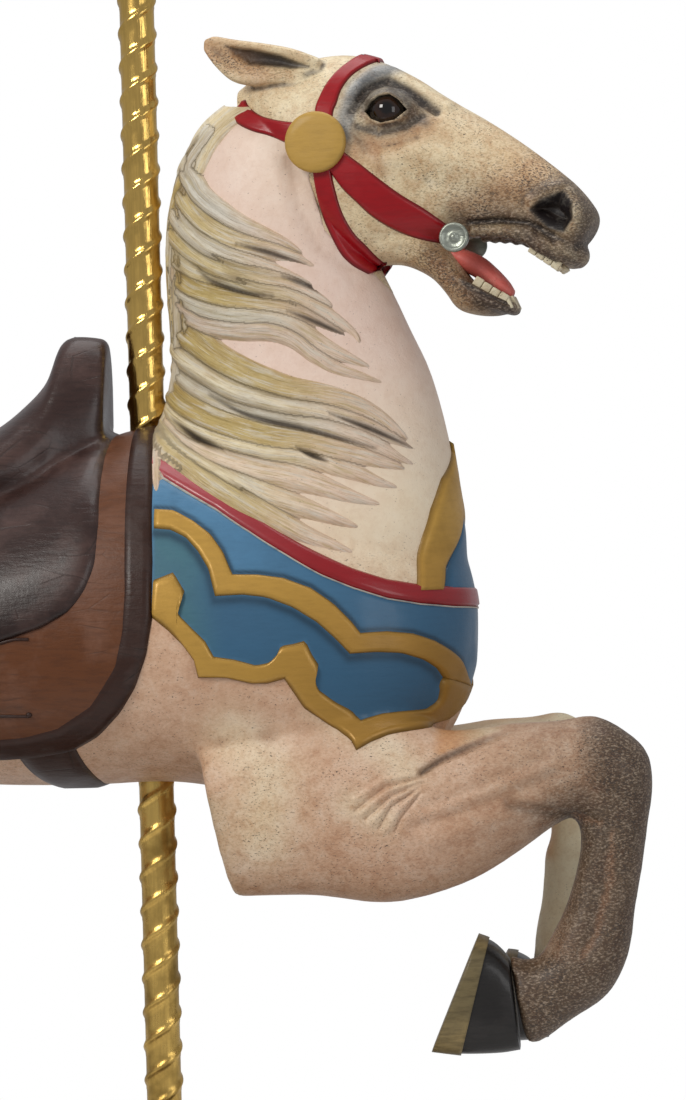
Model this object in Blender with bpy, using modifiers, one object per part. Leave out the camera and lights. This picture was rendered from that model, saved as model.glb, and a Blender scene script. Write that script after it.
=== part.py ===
"""Carved wooden carousel horse on a twisted brass pole, on a low round stand.

The horse faces +X and its decorated side is -Y. The origin is on the pole's axis, at the underside
of the stand. All lengths are metres, apart from the carving's own drawing, which is in drawing units.
"""
import math

import bmesh
import bpy
import numpy as np
from mathutils import Vector
from mathutils.bvhtree import BVHTree

# Stand and pole
BASE_DIAMETER = 0.76
BASE_THICKNESS = 0.050
BASE_SOCKET_DEPTH = 0.030
FLANGE_DIAMETER = 0.150
FLANGE_HEIGHT = 0.034
POLE_DIAMETER = 0.050
POLE_TOP = 1.900
TWIST_LEAD = 0.086
TWIST_DEPTH = 0.0028
TWIST_STEPS = 8
FINIAL_HEIGHT = 0.052
FINIAL_DIAMETER = 0.062
FINIAL_SKIRT = 0.016
RIDGE_WIDTH = 0.011
PLAIN_END = 0.012
PLAIN_BLEND = 0.006

# The horse on its pole
BELLY_HEIGHT = 0.640
WITHERS_HEIGHT = 1.080
HORSE_LENGTH = 1.526

# Fittings
ROSETTE_DIAMETER = 0.076
ROSETTE_THICKNESS = 0.010
BOSS_DIAMETER = 0.037
BOSS_THICKNESS = 0.010
EYE_DIAMETER = 0.044
BOSS_KNOB = 0.004

# How finely the carving is cut, and how many faces are left on it
CHISEL = 0.008
CARVING_FACES = 5200
GAP = 0.0003

# The carving's drawing: it is 152.6 units from muzzle to hind hoof, and its belly line is at 64
UNIT = HORSE_LENGTH / 152.6
DRAWN_BELLY = 64.0
POLL_X = 18.0
HEAD_TURN = math.radians(8.0)
LEG_SPREAD = 12.0
KNEE_SET_BACK = 4.5


def clear_scene():
    for thing in list(bpy.data.objects):
        bpy.data.objects.remove(thing, do_unlink=True)


def make_collections():
    parts = bpy.data.collections.new("carousel_horse")
    cutters = bpy.data.collections.new("cutters")
    bpy.context.scene.collection.children.link(parts)
    bpy.context.scene.collection.children.link(cutters)
    return parts, cutters


def material(name, colour, roughness, metallic=0.0):
    made = bpy.data.materials.new(name)
    made.use_nodes = True
    shader = made.node_tree.nodes["Principled BSDF"]
    shader.inputs["Base Color"].default_value = (*colour, 1.0)
    shader.inputs["Roughness"].default_value = roughness
    shader.inputs["Metallic"].default_value = metallic
    return made


def add_object(name, mesh, collection, mat=None):
    made = bpy.data.objects.new(name, mesh)
    collection.objects.link(made)
    if mat:
        mesh.materials.append(mat)
    return made


def as_cutter(made, cutters):
    made.hide_render = True
    made.display_type = "WIRE"
    for holder in list(made.users_collection):
        holder.objects.unlink(made)
    cutters.objects.link(made)
    return made


def cut(target, cutter):
    mod = target.modifiers.new("cut_" + cutter.name, "BOOLEAN")
    mod.operation = "DIFFERENCE"
    mod.solver = "EXACT"
    mod.object = cutter


def evaluated_mesh(made):
    graph = bpy.context.evaluated_depsgraph_get()
    return bpy.data.meshes.new_from_object(made.evaluated_get(graph))


def turned(name, profile, steps, collection, mat=None):
    """A turned piece: the profile runs from its top, down its outer side, to its foot."""
    mesh = bpy.data.meshes.new(name)
    points = [(radius, 0.0, height) for radius, height in profile]
    mesh.from_pydata(points, [(i, i + 1) for i in range(len(points) - 1)], [])
    made = add_object(name, mesh, collection, mat)
    screw = made.modifiers.new("turn", "SCREW")
    screw.steps = steps
    screw.render_steps = steps
    screw.use_merge_vertices = True
    screw.merge_threshold = 0.00005
    return made


def flow(rows, steps):
    """Rows of numbers with a smooth curve put through them."""
    rows = np.array(rows, dtype=float)
    ends = np.vstack([2 * rows[0] - rows[1], rows, 2 * rows[-1] - rows[-2]])
    out = []
    for i in range(1, len(ends) - 2):
        a, b, c, d = ends[i - 1:i + 3]
        for t in np.arange(steps) / steps:
            out.append(0.5 * (2 * b + (c - a) * t + (2 * a - 5 * b + 4 * c - d) * t * t
                              + (3 * b - a - 3 * c + d) * t ** 3))
    out.append(rows[-1])
    return np.array(out)


def tube_mesh(rings):
    """A closed body through rings of points, with flat ends."""
    work = bmesh.new()
    made = [[work.verts.new(point) for point in ring] for ring in rings]
    count = len(made[0])
    for ring, following in zip(made, made[1:]):
        for i in range(count):
            j = (i + 1) % count
            work.faces.new((ring[i], ring[j], following[j], following[i]))
    work.faces.new(made[0])
    work.faces.new(made[-1])
    bmesh.ops.recalc_face_normals(work, faces=work.faces)
    mesh = bpy.data.meshes.new("loft")
    work.to_mesh(mesh)
    work.free()
    return mesh


def loft(ribs, side=0.0, steps=3, around=20, scoop=0.0):
    """Loft through ribs, each drawn from the side of the horse.

    A rib is top x, top z, bottom x, bottom z, half breadth and, if it has one, how much narrower it
    is at the top. side is the loft's place across the horse, and scoop hollows its outer side.
    """
    rows = [list(rib) + [0.0] * (6 - len(rib)) for rib in ribs]
    rings = []
    for top_x, top_z, low_x, low_z, half, taper in flow(rows, steps):
        ring = []
        for i in range(around):
            turn = math.tau * i / around
            up = math.sin(turn)
            out = math.cos(turn)
            share = 0.5 + 0.5 * up
            breadth = max(half, 0.1) * out * (1.0 - taper * up)
            if scoop and out * side > 0:
                breadth *= 1.0 - scoop * (1.0 - up * up)
            ring.append((low_x + (top_x - low_x) * share, side + breadth, low_z + (top_z - low_z) * share))
        rings.append(ring)
    return tube_mesh(rings)


def ball(x, y, z, radius, stretch=(1.0, 1.0, 1.0)):
    work = bmesh.new()
    bmesh.ops.create_uvsphere(work, u_segments=20, v_segments=12, radius=radius)
    bmesh.ops.scale(work, vec=stretch, verts=work.verts)
    bmesh.ops.translate(work, vec=(x, y, z), verts=work.verts)
    mesh = bpy.data.meshes.new("ball")
    work.to_mesh(mesh)
    work.free()
    return mesh


def turn_head(mesh):
    """The head is drawn straight and then turned a little to the decorated side, about the poll."""
    for vertex in mesh.vertices:
        x, y, z = vertex.co
        ahead = x - POLL_X
        vertex.co = (x + y * math.sin(HEAD_TURN), y * math.cos(HEAD_TURN) - ahead * math.tan(HEAD_TURN), z)
    return mesh


def straightened(where):
    """Points of the turned head, put back where they are drawn."""
    across = math.cos(HEAD_TURN) * (where[:, 1] + (where[:, 0] - POLL_X) * math.tan(HEAD_TURN))
    return np.stack([where[:, 0] - across * math.sin(HEAD_TURN), across, where[:, 2]], axis=1)


def fuse(name, meshes, cell, collection):
    """Join overlapping bodies and carve them out as one, at the fineness of cell."""
    work = bmesh.new()
    for mesh in meshes:
        work.from_mesh(mesh)
    joined = bpy.data.meshes.new(name)
    work.to_mesh(joined)
    work.free()
    made = add_object(name, joined, collection)
    mod = made.modifiers.new("fuse", "REMESH")
    mod.mode = "VOXEL"
    mod.voxel_size = cell
    whole = evaluated_mesh(made)
    made.modifiers.clear()
    made.data = whole
    return made


def ease(made, rounds, weight):
    """Soften the carving. weight gives how much at each point, from 0 to 1."""
    mesh = made.data
    where = np.empty(len(mesh.vertices) * 3)
    mesh.vertices.foreach_get("co", where)
    where = where.reshape(-1, 3)
    edges = np.empty(len(mesh.edges) * 2, dtype=int)
    mesh.edges.foreach_get("vertices", edges)
    edges = edges.reshape(-1, 2)
    share = weight(where)[:, None] * 0.5
    count = np.bincount(edges.ravel(), minlength=len(where))[:, None]
    for _ in range(rounds):
        total = np.zeros_like(where)
        np.add.at(total, edges[:, 0], where[edges[:, 1]])
        np.add.at(total, edges[:, 1], where[edges[:, 0]])
        where = where + (total / count - where) * share
    mesh.vertices.foreach_set("co", where.ravel())
    mesh.update()


# The animal, drawn from its right side in drawing units

def torso():
    return loft([
        (-66.5, 91, -66.5, 84, 3),
        (-63.5, 99, -64, 75, 12),
        (-57, 103.5, -58.5, 69, 16.5),
        (-49, 105.5, -50, 66.5, 18.5),
        (-39, 104.5, -40, 66.5, 18.5),
        (-29, 102.5, -30, 64.8, 19.5, 0.04),
        (-19, 102.5, -19, 64, 20.5, 0.08),
        (-9, 106, -8, 63.8, 20.5, 0.1),
        (0, 108.7, 2, 64.0, 20.5, 0.12),
        (9, 108, 10, 62.6, 20.3, 0.12),
        (19, 106, 20, 58.5, 19.6, 0.06),
        (28, 102, 28, 60.5, 17.8),
        (35, 97.5, 34.5, 65.5, 14.2),
        (39.8, 92, 38.8, 71.5, 9.0),
        (41.4, 86, 41.1, 78, 4.0),
    ], around=28)


def neck():
    return loft([
        (3, 96, 38.5, 78, 15.5),
        (1.5, 106, 40.2, 92, 14.6, 0.12),
        (3.2, 111, 39.3, 100.5, 12.4, 0.14),
        (4.3, 116, 38.3, 107.5, 10.8, 0.14),
        (4.4, 121, 36.4, 115, 9.8, 0.14),
        (4.1, 126, 34.0, 120.5, 9.1, 0.14),
        (4.0, 131, 32.2, 124.6, 8.7, 0.14),
        (4.6, 136.5, 30.6, 128.0, 8.4, 0.14),
        (6.1, 142, 29, 131.5, 8.1, 0.14),
        (9.2, 147, 27, 136, 7.7, 0.12),
        (14.0, 150.4, 26.5, 141, 7.2, 0.1),
        (18, 152.5, 27, 146, 6.5, 0.1),
    ], around=24)


def skull():
    return loft([
        (12.8, 151.6, 13.5, 147.5, 3.0),
        (16.5, 153.8, 16.5, 143.5, 6.0),
        (21.5, 155.0, 19.8, 138.5, 7.8, 0.12),
        (26.5, 155.5, 23.8, 133, 8.7, 0.12),
        (31.0, 154.5, 28.0, 129.2, 8.8, 0.06),
        (35.4, 152.2, 32.5, 129.2, 8.2, -0.02),
        (39.5, 149.4, 37.2, 130.6, 7.2, 0.02),
        (44.2, 146.5, 42.0, 131.6, 6.2, 0.1),
        (48.5, 143.5, 46.0, 131.8, 5.4, 0.12),
        (52.4, 140.4, 49.6, 131.0, 5.1, 0.06),
        (55.4, 137.7, 52.2, 129.8, 5.4, -0.04),
        (57.4, 135.2, 54.0, 129.2, 5.2, -0.1),
        (58.1, 133.6, 55.4, 129.4, 4.2, -0.1),
        (57.7, 132.4, 56.4, 130.4, 2.6),
    ], around=24)


def upper_lip():
    return ball(54.4, 0.0, 128.9, 2.2, (1.0, 1.9, 1.0))


def lower_jaw():
    return loft([
        (31, 138, 29.5, 128.6, 5.6),
        (35, 134.5, 33.3, 128.6, 5.2),
        (38.6, 131.5, 36.7, 127.0, 4.6),
        (40.6, 129.0, 38.6, 125.0, 4.2),
        (42.0, 126.6, 40.2, 122.8, 3.9),
        (44.3, 125.0, 42.8, 121.9, 3.8),
        (46.3, 123.9, 45.4, 121.8, 3.4),
        (47.3, 123.5, 47.0, 122.4, 2.2),
    ], around=16)


def tongue_and_teeth():
    tongue = loft([
        (39.5, 131.5, 38.5, 129.0, 1.8),
        (42.6, 130.1, 41.6, 127.2, 2.0),
        (44.8, 128.4, 43.6, 125.6, 2.0),
        (46.2, 126.7, 45.2, 124.2, 1.8),
        (47.0, 125.3, 46.6, 124.2, 1.0),
    ], around=12)
    lower = loft([
        (41.8, 127.9, 41.0, 125.0, 3.4),
        (43.8, 126.7, 43.0, 123.8, 3.5),
        (45.8, 125.2, 45.0, 122.8, 3.3),
        (47.4, 124.3, 46.9, 122.8, 2.2),
    ], around=12)
    upper = loft([
        (46.6, 133.0, 46.0, 131.0, 4.2),
        (49.4, 132.0, 48.6, 129.6, 4.3),
        (51.6, 131.0, 50.6, 128.2, 4.0),
        (53.4, 129.5, 52.4, 126.9, 2.8),
    ], around=12)
    return [tongue, lower, upper]


def ear(side):
    made = loft([
        (24.5, 154.6, 23.5, 150.6, 2.4),
        (21.0, 156.0, 20.0, 151.6, 2.8),
        (17.4, 156.8, 16.6, 151.4, 2.9),
        (13.8, 157.4, 13.6, 152.0, 2.4),
        (11.4, 157.9, 11.4, 154.0, 1.6),
        (9.8, 157.9, 9.6, 156.2, 0.7),
    ], side=side * 4.6, around=16, scoop=0.8)
    for vertex in made.vertices:
        back = max(0.0, 24.0 - vertex.co.x) / 14.0
        vertex.co.y += side * 2.2 * back
    return made


def foreleg(side):
    """The arm runs forward to the knee. The right shin is folded back; the left one hangs nearer."""
    leg = [
        (6.8, 70, 10.9, 50.2, 6.2),
        (14, 74, 15.5, 50.3, 7.2),
        (22, 75, 21.5, 50.2, 8.2),
        (31, 73, 28.8, 49.2, 8.2),
        (37.6, 70.4, 34.2, 49.8, 7.6),
        (45.6, 71.1, 40.6, 51.9, 6.8),
        (51.5, 71.3, 45.9, 55.0, 6.2),
        (56.0, 71.8, 50.8, 58.4, 5.8),
        (60.0, 69.6, 53.3, 59.3, 5.7),
        (62.4, 67.0, 53.8, 57.6, 5.3),
        (63.0, 63.0, 53.8, 55.8, 4.8),
        (62.2, 58.5, 53.4, 53.6, 4.3),
        (61.4, 53.2, 52.6, 50.8, 4.0),
        (60.4, 48.1, 51.4, 47.6, 4.0),
        (59.4, 42.3, 49.8, 44.7, 4.5),
        (56.8, 37.5, 48.6, 42.6, 4.6),
        (52.2, 34.4, 46.8, 41.8, 4.2),
        (48.6, 31.9, 45.4, 42.4, 4.3),
    ]
    hoof = [
        (47.2, 30.7, 45.9, 42.6, 4.9),
        (42.2, 30.7, 43.9, 44.1, 5.5),
        (38.3, 30.8, 42.8, 44.5, 5.9),
        (34.9, 31.0, 41.3, 45.0, 6.0),
    ]
    if side > 0:
        leg = [set_back(rib) for rib in leg[:11]] + [
            (57.9, 57.7, 49.0, 52.8, 4.3),
            (57.6, 52.6, 48.8, 50.0, 4.0),
            (57.4, 47.6, 48.4, 46.6, 4.0),
            (57.6, 41.0, 47.6, 43.0, 4.5),
            (56.6, 36.2, 47.4, 40.4, 4.6),
            (53.4, 31.8, 47.2, 38.9, 4.2),
            (50.6, 28.9, 47.3, 38.8, 4.3),
        ]
        hoof = [
            (49.6, 27.7, 47.6, 39.2, 4.9),
            (44.8, 27.7, 46.2, 40.6, 5.5),
            (40.9, 27.8, 45.2, 41.2, 5.9),
            (38.2, 28.5, 44.2, 41.2, 6.0),
        ]
    return [loft(leg, side * LEG_SPREAD, around=18), loft(hoof, side * LEG_SPREAD, steps=2, around=18)]


def set_back(rib):
    """The left knee is carried a little further back and lower than the right one."""
    top_x, top_z, low_x, low_z, half = rib
    far = KNEE_SET_BACK / 46.0
    return (top_x - (top_x - 14.0) * far, top_z - 0.6, low_x - (low_x - 14.0) * far, low_z - 0.8, half)


def hindleg(side):
    """The thigh runs down to the hock, and the shin trails behind it."""
    shift = 5.0 if side > 0 else 0.0
    leg = [
        (-38, 95, -63, 96, 6.0),
        (-36, 85, -65, 86, 8.0),
        (-35.5, 75, -63.5, 76.5, 8.4),
        (-38, 67.5, -61.0, 70, 7.8),
        (-43.0, 61.8, -60.5, 65.0, 6.8),
        (-50.0, 56.5, -62.3, 61.8, 5.5),
        (-56.5, 52.0, -66.4, 59.8, 4.6),
        (-61.5, 48.0, -71.4, 56.8, 4.4),
        (-65.2, 43.6, -74.4, 51.8, 4.2),
        (-68.6, 39.4, -75.8, 46.2, 3.7),
        (-72.0, 34.8, -78.3, 40.8, 3.6),
        (-75.6, 30.0, -82.6, 37.0, 4.1),
        (-77.2, 27.2, -85.4, 33.6, 4.1),
        (-78.0, 24.8, -86.8, 30.0, 4.2),
    ]
    hoof = [
        (-78.0, 25.2, -87.2, 29.6, 4.8),
        (-77.8, 21.2, -88.6, 27.4, 5.4),
        (-78.0, 18.2, -89.6, 25.2, 5.9),
        (-78.6, 16.2, -90.2, 23.4, 6.0),
    ]
    leg = [(a + shift, b, c + shift, d, w) for a, b, c, d, w in leg]
    hoof = [(a + shift, b, c + shift, d, w) for a, b, c, d, w in hoof]
    return [loft(leg, side * LEG_SPREAD, around=18), loft(hoof, side * LEG_SPREAD, steps=2, around=18)]


def tail():
    return loft([
        (-58, 104, -60, 97, 3.5),
        (-65, 104.5, -62.5, 95, 4.6),
        (-72, 101.5, -63.5, 90, 5.6),
        (-76.5, 94, -64.5, 84, 6.4),
        (-78.8, 84, -66.5, 77, 6.8),
        (-80.6, 74.5, -69.5, 69.5, 6.2),
        (-83.6, 66.5, -74.5, 62.0, 4.6),
        (-87.0, 61.0, -81.5, 57.5, 2.6),
        (-89.5, 57.5, -88.0, 56.0, 0.8),
    ], around=16)


def saddle():
    return loft([
        (-5.0, 119.6, -5.7, 105, 4.2),
        (-5.6, 120.6, -6.6, 100, 6.0, 0.1),
        (-10.0, 120.7, -11.4, 98, 8.2, 0.25),
        (-12.3, 115.7, -14, 98, 10.0, 0.25),
        (-15.2, 111.4, -17, 98, 11.6, 0.2),
        (-19.5, 107.7, -20, 98, 13.0, 0.15),
        (-26, 105.4, -26, 98, 14.2, 0.1),
        (-32, 105.4, -32, 98, 14.4, 0.1),
        (-37, 108.0, -36.5, 98, 13.8, 0.15),
        (-41.5, 113.6, -40, 99, 12.8, 0.1),
        (-44.2, 114.6, -43, 101, 11.4, 0.1),
        (-45.6, 112.6, -45.6, 103, 8.0),
    ], around=24)


# Mane locks: where each one's tip lies on the side of the neck, how wide it is and how far it falls
LOCKS = [
    (23.5, 128.6, 1.9, 16), (19.6, 125.4, 1.2, 13), (25.6, 123.2, 1.8, 18), (28.0, 118.0, 1.9, 20),
    (22.0, 117.2, 1.1, 14), (31.0, 114.2, 1.9, 17), (29.6, 110.6, 1.2, 13), (35.0, 105.0, 2.0, 16),
    (32.4, 100.6, 1.7, 15), (27.2, 96.6, 1.9, 16), (19.6, 97.4, 1.6, 13), (12.4, 101.6, 1.4, 10),
]
PLAIN_SIDE_LOCKS = [
    (16.0, 132.0, 1.6, 15), (17.0, 125.0, 1.7, 16), (18.0, 118.0, 1.6, 15), (18.0, 111.0, 1.7, 15),
    (15.0, 104.0, 1.5, 12),
]
CREST = [(110, 3.6), (116, 5.2), (121, 5.8), (126, 5.4), (131, 5.4), (136.5, 6.2), (142, 8.2), (147, 11.4)]


def crest_x(height):
    return float(np.interp(height, [spot[0] for spot in CREST], [spot[1] for spot in CREST]))


def lock(spec, side, surface):
    """One lock: it leaves the crest steeply and sweeps forward to a point on the skin."""
    tip_x, tip_z, width, fall = spec
    top_z = min(tip_z + fall, 145.0)
    bend_z = tip_z + fall * 0.45
    start = Vector((crest_x(top_z), 0.0, top_z))
    bend = Vector((crest_x(bend_z) - 0.6, 0.0, bend_z))
    sweep = Vector((crest_x(tip_z) + 5.5, 0.0, tip_z + 4.2))
    end = Vector((tip_x, 0.0, tip_z))
    steps = 14
    line = []
    for i in range(steps + 1):
        t = i / steps
        point = start * (1 - t) ** 3 + bend * (3 * t * (1 - t) ** 2) + sweep * (3 * t * t * (1 - t)) + end * t ** 3
        line.append((point, surface(point.x, point.z, side)))
    rings = []
    for i, (point, skin_y) in enumerate(line):
        t = i / steps
        ahead = line[min(i + 1, steps)][0] - line[max(i - 1, 0)][0]
        ahead.normalize()
        across = Vector((-ahead.z, 0.0, ahead.x))
        half = width * (0.55 + 1.1 * t) * (1.0 - t) ** 0.6 + 0.25
        thick = 1.15 * (1.0 - t) ** 0.5 + 0.15
        ring = []
        for k in range(10):
            turn = math.tau * k / 10
            place = point + across * half * math.cos(turn)
            ring.append((place.x, skin_y + thick * math.sin(turn), place.z))
        rings.append(ring)
    return tube_mesh(rings)


def skin_finder(made):
    """A function that gives the y of the outer skin at a side-view point."""
    tree = BVHTree.FromObject(made, bpy.context.evaluated_depsgraph_get())

    def surface(x, z, side):
        hit = tree.ray_cast(Vector((x, side * 60.0, z)), Vector((0, -side, 0)))
        return hit[0].y if hit[0] else 0.0
    return surface


def outline_distance(where, outline):
    """Signed distance of side-view points from a closed outline, positive inside."""
    points = np.array(outline, dtype=float)
    following = np.roll(points, -1, axis=0)
    spot = where[:, [0, 2]]
    best = np.full(len(spot), 1e9)
    inside = np.zeros(len(spot), dtype=bool)
    for a, b in zip(points, following):
        run = b - a
        t = np.clip(((spot - a) @ run) / (run @ run), 0, 1)
        best = np.minimum(best, np.linalg.norm(spot - (a + t[:, None] * run), axis=1))
        crosses = (a[1] > spot[:, 1]) != (b[1] > spot[:, 1])
        at = a[0] + (spot[:, 1] - a[1]) / (b[1] - a[1] + 1e-12) * run[0]
        inside ^= crosses & (spot[:, 0] < at)
    return np.where(inside, best, -best)


def line_distance(where, line):
    """Distance of side-view points from an open line."""
    points = np.array(line, dtype=float)
    spot = where[:, [0, 2]]
    best = np.full(len(spot), 1e9)
    for a, b in zip(points, points[1:]):
        run = b - a
        t = np.clip(((spot - a) @ run) / (run @ run), 0, 1)
        best = np.minimum(best, np.linalg.norm(spot - (a + t[:, None] * run), axis=1))
    return best


def rise(distance, edge):
    """0 outside, 1 inside, over an edge of the width given."""
    t = np.clip(distance / edge + 0.5, 0, 1)
    return t * t * (3 - 2 * t)


# Outlines of the harness, drawn from the side
BLANKET = [
    (3.0, 112), (3.0, 92), (2.5, 85.3), (0.2, 76.9), (-5.0, 70.8), (-12.5, 68.5),
    (-30, 69), (-42, 73), (-49, 81), (-51, 92), (-51, 112),
]
FLAP = [
    (-2.6, 112), (-3.9, 99.9), (-4.5, 91.4), (-8.1, 86.4), (-16.1, 82.9), (-26, 82.5),
    (-34, 85.5), (-40, 92), (-44, 100), (-46, 112),
]
COLLAR_TOP = [
    (-2, 108.5), (3.0, 105.4), (11.1, 100.2), (19.0, 94.9), (26.9, 90.7), (34.9, 88.5), (41.5, 87.8),
]
BAND_DROP = 2.7
UPPER_SCROLL = [
    (2.5, 97.2), (5.2, 96.8), (7.8, 95.3), (9.8, 93.0), (11.3, 89.0), (15.0, 88.8), (19.2, 87.8),
    (22.6, 85.8), (25.3, 83.0), (27.1, 81.5), (31.5, 81.6), (35.6, 80.4), (38.4, 77.8), (38.0, 74.5),
]
LOWER_SCROLL = [
    (2.8, 88.0), (4.8, 85.2), (7.8, 81.2), (9.2, 79.0), (13.2, 78.4), (17.4, 78.4), (20.0, 79.8),
    (20.8, 75.6), (23.6, 72.6), (27.2, 70.4), (31.5, 71.6), (36.8, 72.8), (38.0, 74.5),
]
COLLAR = COLLAR_TOP + [(42.5, 74), (38.0, 71.6), (32.0, 70.4), (27.0, 68.6), (20.5, 73.8), (18.6, 77.2),
                       (13.0, 77.0), (8.0, 77.8), (2.0, 85.5), (-2, 88)]
SHIELD = [(39.3, 106.4), (37.5, 101.5), (35.6, 96.0), (34.4, 90.0), (34.4, 87.0), (43.0, 87.0), (43.0, 106.4)]
GIRTH = [(-10.6, 70), (-8.4, 62)]

# The saddle's upright front face is not lifted: it looks forward by more than this, above this height
POMMEL_FACE = 0.5
POMMEL_FOOT = 104.0

BROW_STRAP = [(25.4, 144.0), (25.4, 147.4), (26.3, 150.5), (27.6, 152.4), (30.0, 155.0)]
CROWN_STRAP = [(23.6, 144.6), (20.4, 145.2), (17.2, 146.5), (14.8, 148.0), (12.8, 150.2)]
THROAT_STRAP = [(24.8, 143.0), (25.2, 138.5), (26.8, 132.8), (28.8, 129.4), (31.4, 127.0)]
CHEEK_STRAP = [(25.4, 142.6), (28.6, 139.4), (33.0, 135.4), (37.4, 133.0), (40.8, 131.4)]
NOSTRIL = [(51.0, 134.6), (53.2, 135.4), (54.9, 133.8)]
MOUTH_CORNER = [(40.6, 131.2), (44.6, 131.4)]
STRAP_HALF = 1.3
STRAP_RISE = 0.6


def carve_relief(made):
    """Raise the harness and sink the hollows, by moving the skin along its normals."""
    mesh = made.data
    count = len(mesh.vertices)
    where = np.empty(count * 3)
    mesh.vertices.foreach_get("co", where)
    where = where.reshape(-1, 3)
    normal = np.empty(count * 3)
    mesh.vertices.foreach_get("normal", normal)
    normal = normal.reshape(-1, 3)
    x, y, z = where.T
    body = (z < 125) & (z > 60)
    trunk = body & (np.abs(normal[:, 0]) < 0.97)
    lift = np.zeros(count)

    lying = body * (1.0 - rise(normal[:, 0] - POMMEL_FACE, 0.4) * (z > POMMEL_FOOT))
    lift += 0.7 * rise(outline_distance(where, BLANKET), 0.5) * lying
    lift += 0.9 * rise(outline_distance(where, FLAP), 0.6) * lying
    edge = outline_distance(where, BLANKET)
    lift += 0.25 * rise(3.6 - edge, 0.5) * rise(edge, 0.5) * trunk
    lift += 0.5 * rise(3.2 - line_distance(where, GIRTH), 0.6) * (z < 69) * (z > 60)

    off_blanket = rise(-edge, 0.5)
    collar = rise(outline_distance(where, COLLAR), 0.5) * off_blanket * (x > 0)
    lift += 0.35 * collar * body
    band = line_distance(where - [0, 0, -BAND_DROP / 2], COLLAR_TOP)
    lift += 0.35 * rise(BAND_DROP / 2 - band, 0.5) * off_blanket * body * (x > 0)
    for scroll in (UPPER_SCROLL, LOWER_SCROLL):
        lift += 0.6 * rise(1.35 - line_distance(where, scroll), 0.5) * off_blanket * body * (x > 1)
    lift += 0.5 * rise(outline_distance(where, SHIELD), 0.5) * body * (x > 30)

    head = z > 125
    drawn = straightened(where)
    for strap in (BROW_STRAP, CROWN_STRAP, THROAT_STRAP, CHEEK_STRAP):
        lift = np.maximum(lift, STRAP_RISE * rise(STRAP_HALF - line_distance(drawn, strap), 0.4) * head)
    lift -= 1.0 * rise(1.2 - line_distance(drawn, NOSTRIL), 1.0) * head * (x > 45)
    lift -= 0.4 * rise(0.6 - line_distance(drawn, MOUTH_CORNER), 0.8) * head

    tail_wave = np.sin(y * 2.1 + (x + z) * 0.12)
    lift += 0.45 * tail_wave * (x < -67.5) * (z > 56)
    mesh.vertices.foreach_set("co", (where + normal * lift[:, None]).ravel())
    mesh.update()


def to_real(made):
    """From drawing units to metres, with the belly line at its height on the pole."""
    for vertex in made.data.vertices:
        x, y, z = vertex.co
        vertex.co = (x * UNIT, y * UNIT, BELLY_HEIGHT + (z - DRAWN_BELLY) * UNIT)
    made.data.update()


def real_point(x, y, z):
    return Vector((x * UNIT, y * UNIT, BELLY_HEIGHT + (z - DRAWN_BELLY) * UNIT))


def softness(where):
    """The head and the pommel are left crisper than the rest."""
    x, z = where[:, 0], where[:, 2]
    pommel = (z > 107) & (x > -14) & (x < 0)
    return np.where((z > 125) | pommel, 0.35, 1.0)


def carved_horse(parts):
    cell = CHISEL / UNIT
    bodies = [torso(), neck(), tail(), saddle()]
    head = [skull(), upper_lip(), lower_jaw(), *tongue_and_teeth()]
    for side in (-1, 1):
        head.append(ear(side))
        head.append(ball(33.0, side * 5.6, 147.4, 3.3, (1.15, 0.9, 0.95)))
        bodies += foreleg(side)
        bodies += hindleg(side)
    bodies += [turn_head(mesh) for mesh in head]
    bare = fuse("carved_horse", bodies, cell, parts)
    ease(bare, 5, softness)

    surface = skin_finder(bare)
    locks = [lock(spec, -1, surface) for spec in LOCKS]
    locks += [lock(spec, 1, surface) for spec in PLAIN_SIDE_LOCKS]
    horse = fuse("carved_horse", [bare.data, *locks], cell, parts)
    bpy.data.objects.remove(bare, do_unlink=True)
    horse.name = "carved_horse"
    ease(horse, 1, lambda where: np.full(len(where), 0.5))
    carve_relief(horse)
    to_real(horse)

    horse.data.materials.clear()
    horse.data.materials.append(material("painted_wood", (0.72, 0.60, 0.50), 0.5))
    thin = horse.modifiers.new("fewer_faces", "DECIMATE")
    thin.ratio = CARVING_FACES / (2.0 * len(horse.data.polygons))
    thin.use_collapse_triangulate = True
    return horse


def disc(name, place, side, radius, thickness, knob, parts, mat):
    """A turned disc that faces sideways out of the horse, in line with its turned head."""
    crown = thickness * 0.12
    profile = [(0.0, thickness + crown)]
    if knob:
        profile = [(0.0, thickness + knob), (knob, thickness + knob * 0.6), (knob * 1.2, thickness)]
    profile += [
        (radius - thickness * 0.3, thickness),
        (radius, thickness * 0.7),
        (radius, 0.0),
        (0.0, 0.0),
    ]
    made = turned(name, profile, 18, parts, mat)
    made.location = place
    made.rotation_euler = (math.radians(-90.0) * side, 0.0, -HEAD_TURN)
    return made


def seat_cutter(name, place, side, radius, depth, cutters):
    """The flat seat that a disc stands in."""
    bpy.ops.mesh.primitive_cylinder_add(vertices=24, radius=radius, depth=depth)
    made = bpy.context.object
    made.name = name
    made.rotation_euler = (math.radians(90.0), 0.0, -HEAD_TURN)
    outward = Vector((side * math.sin(HEAD_TURN), side * math.cos(HEAD_TURN), 0.0))
    made.location = place + outward * (depth / 2 - GAP)
    return as_cutter(made, cutters)


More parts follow.
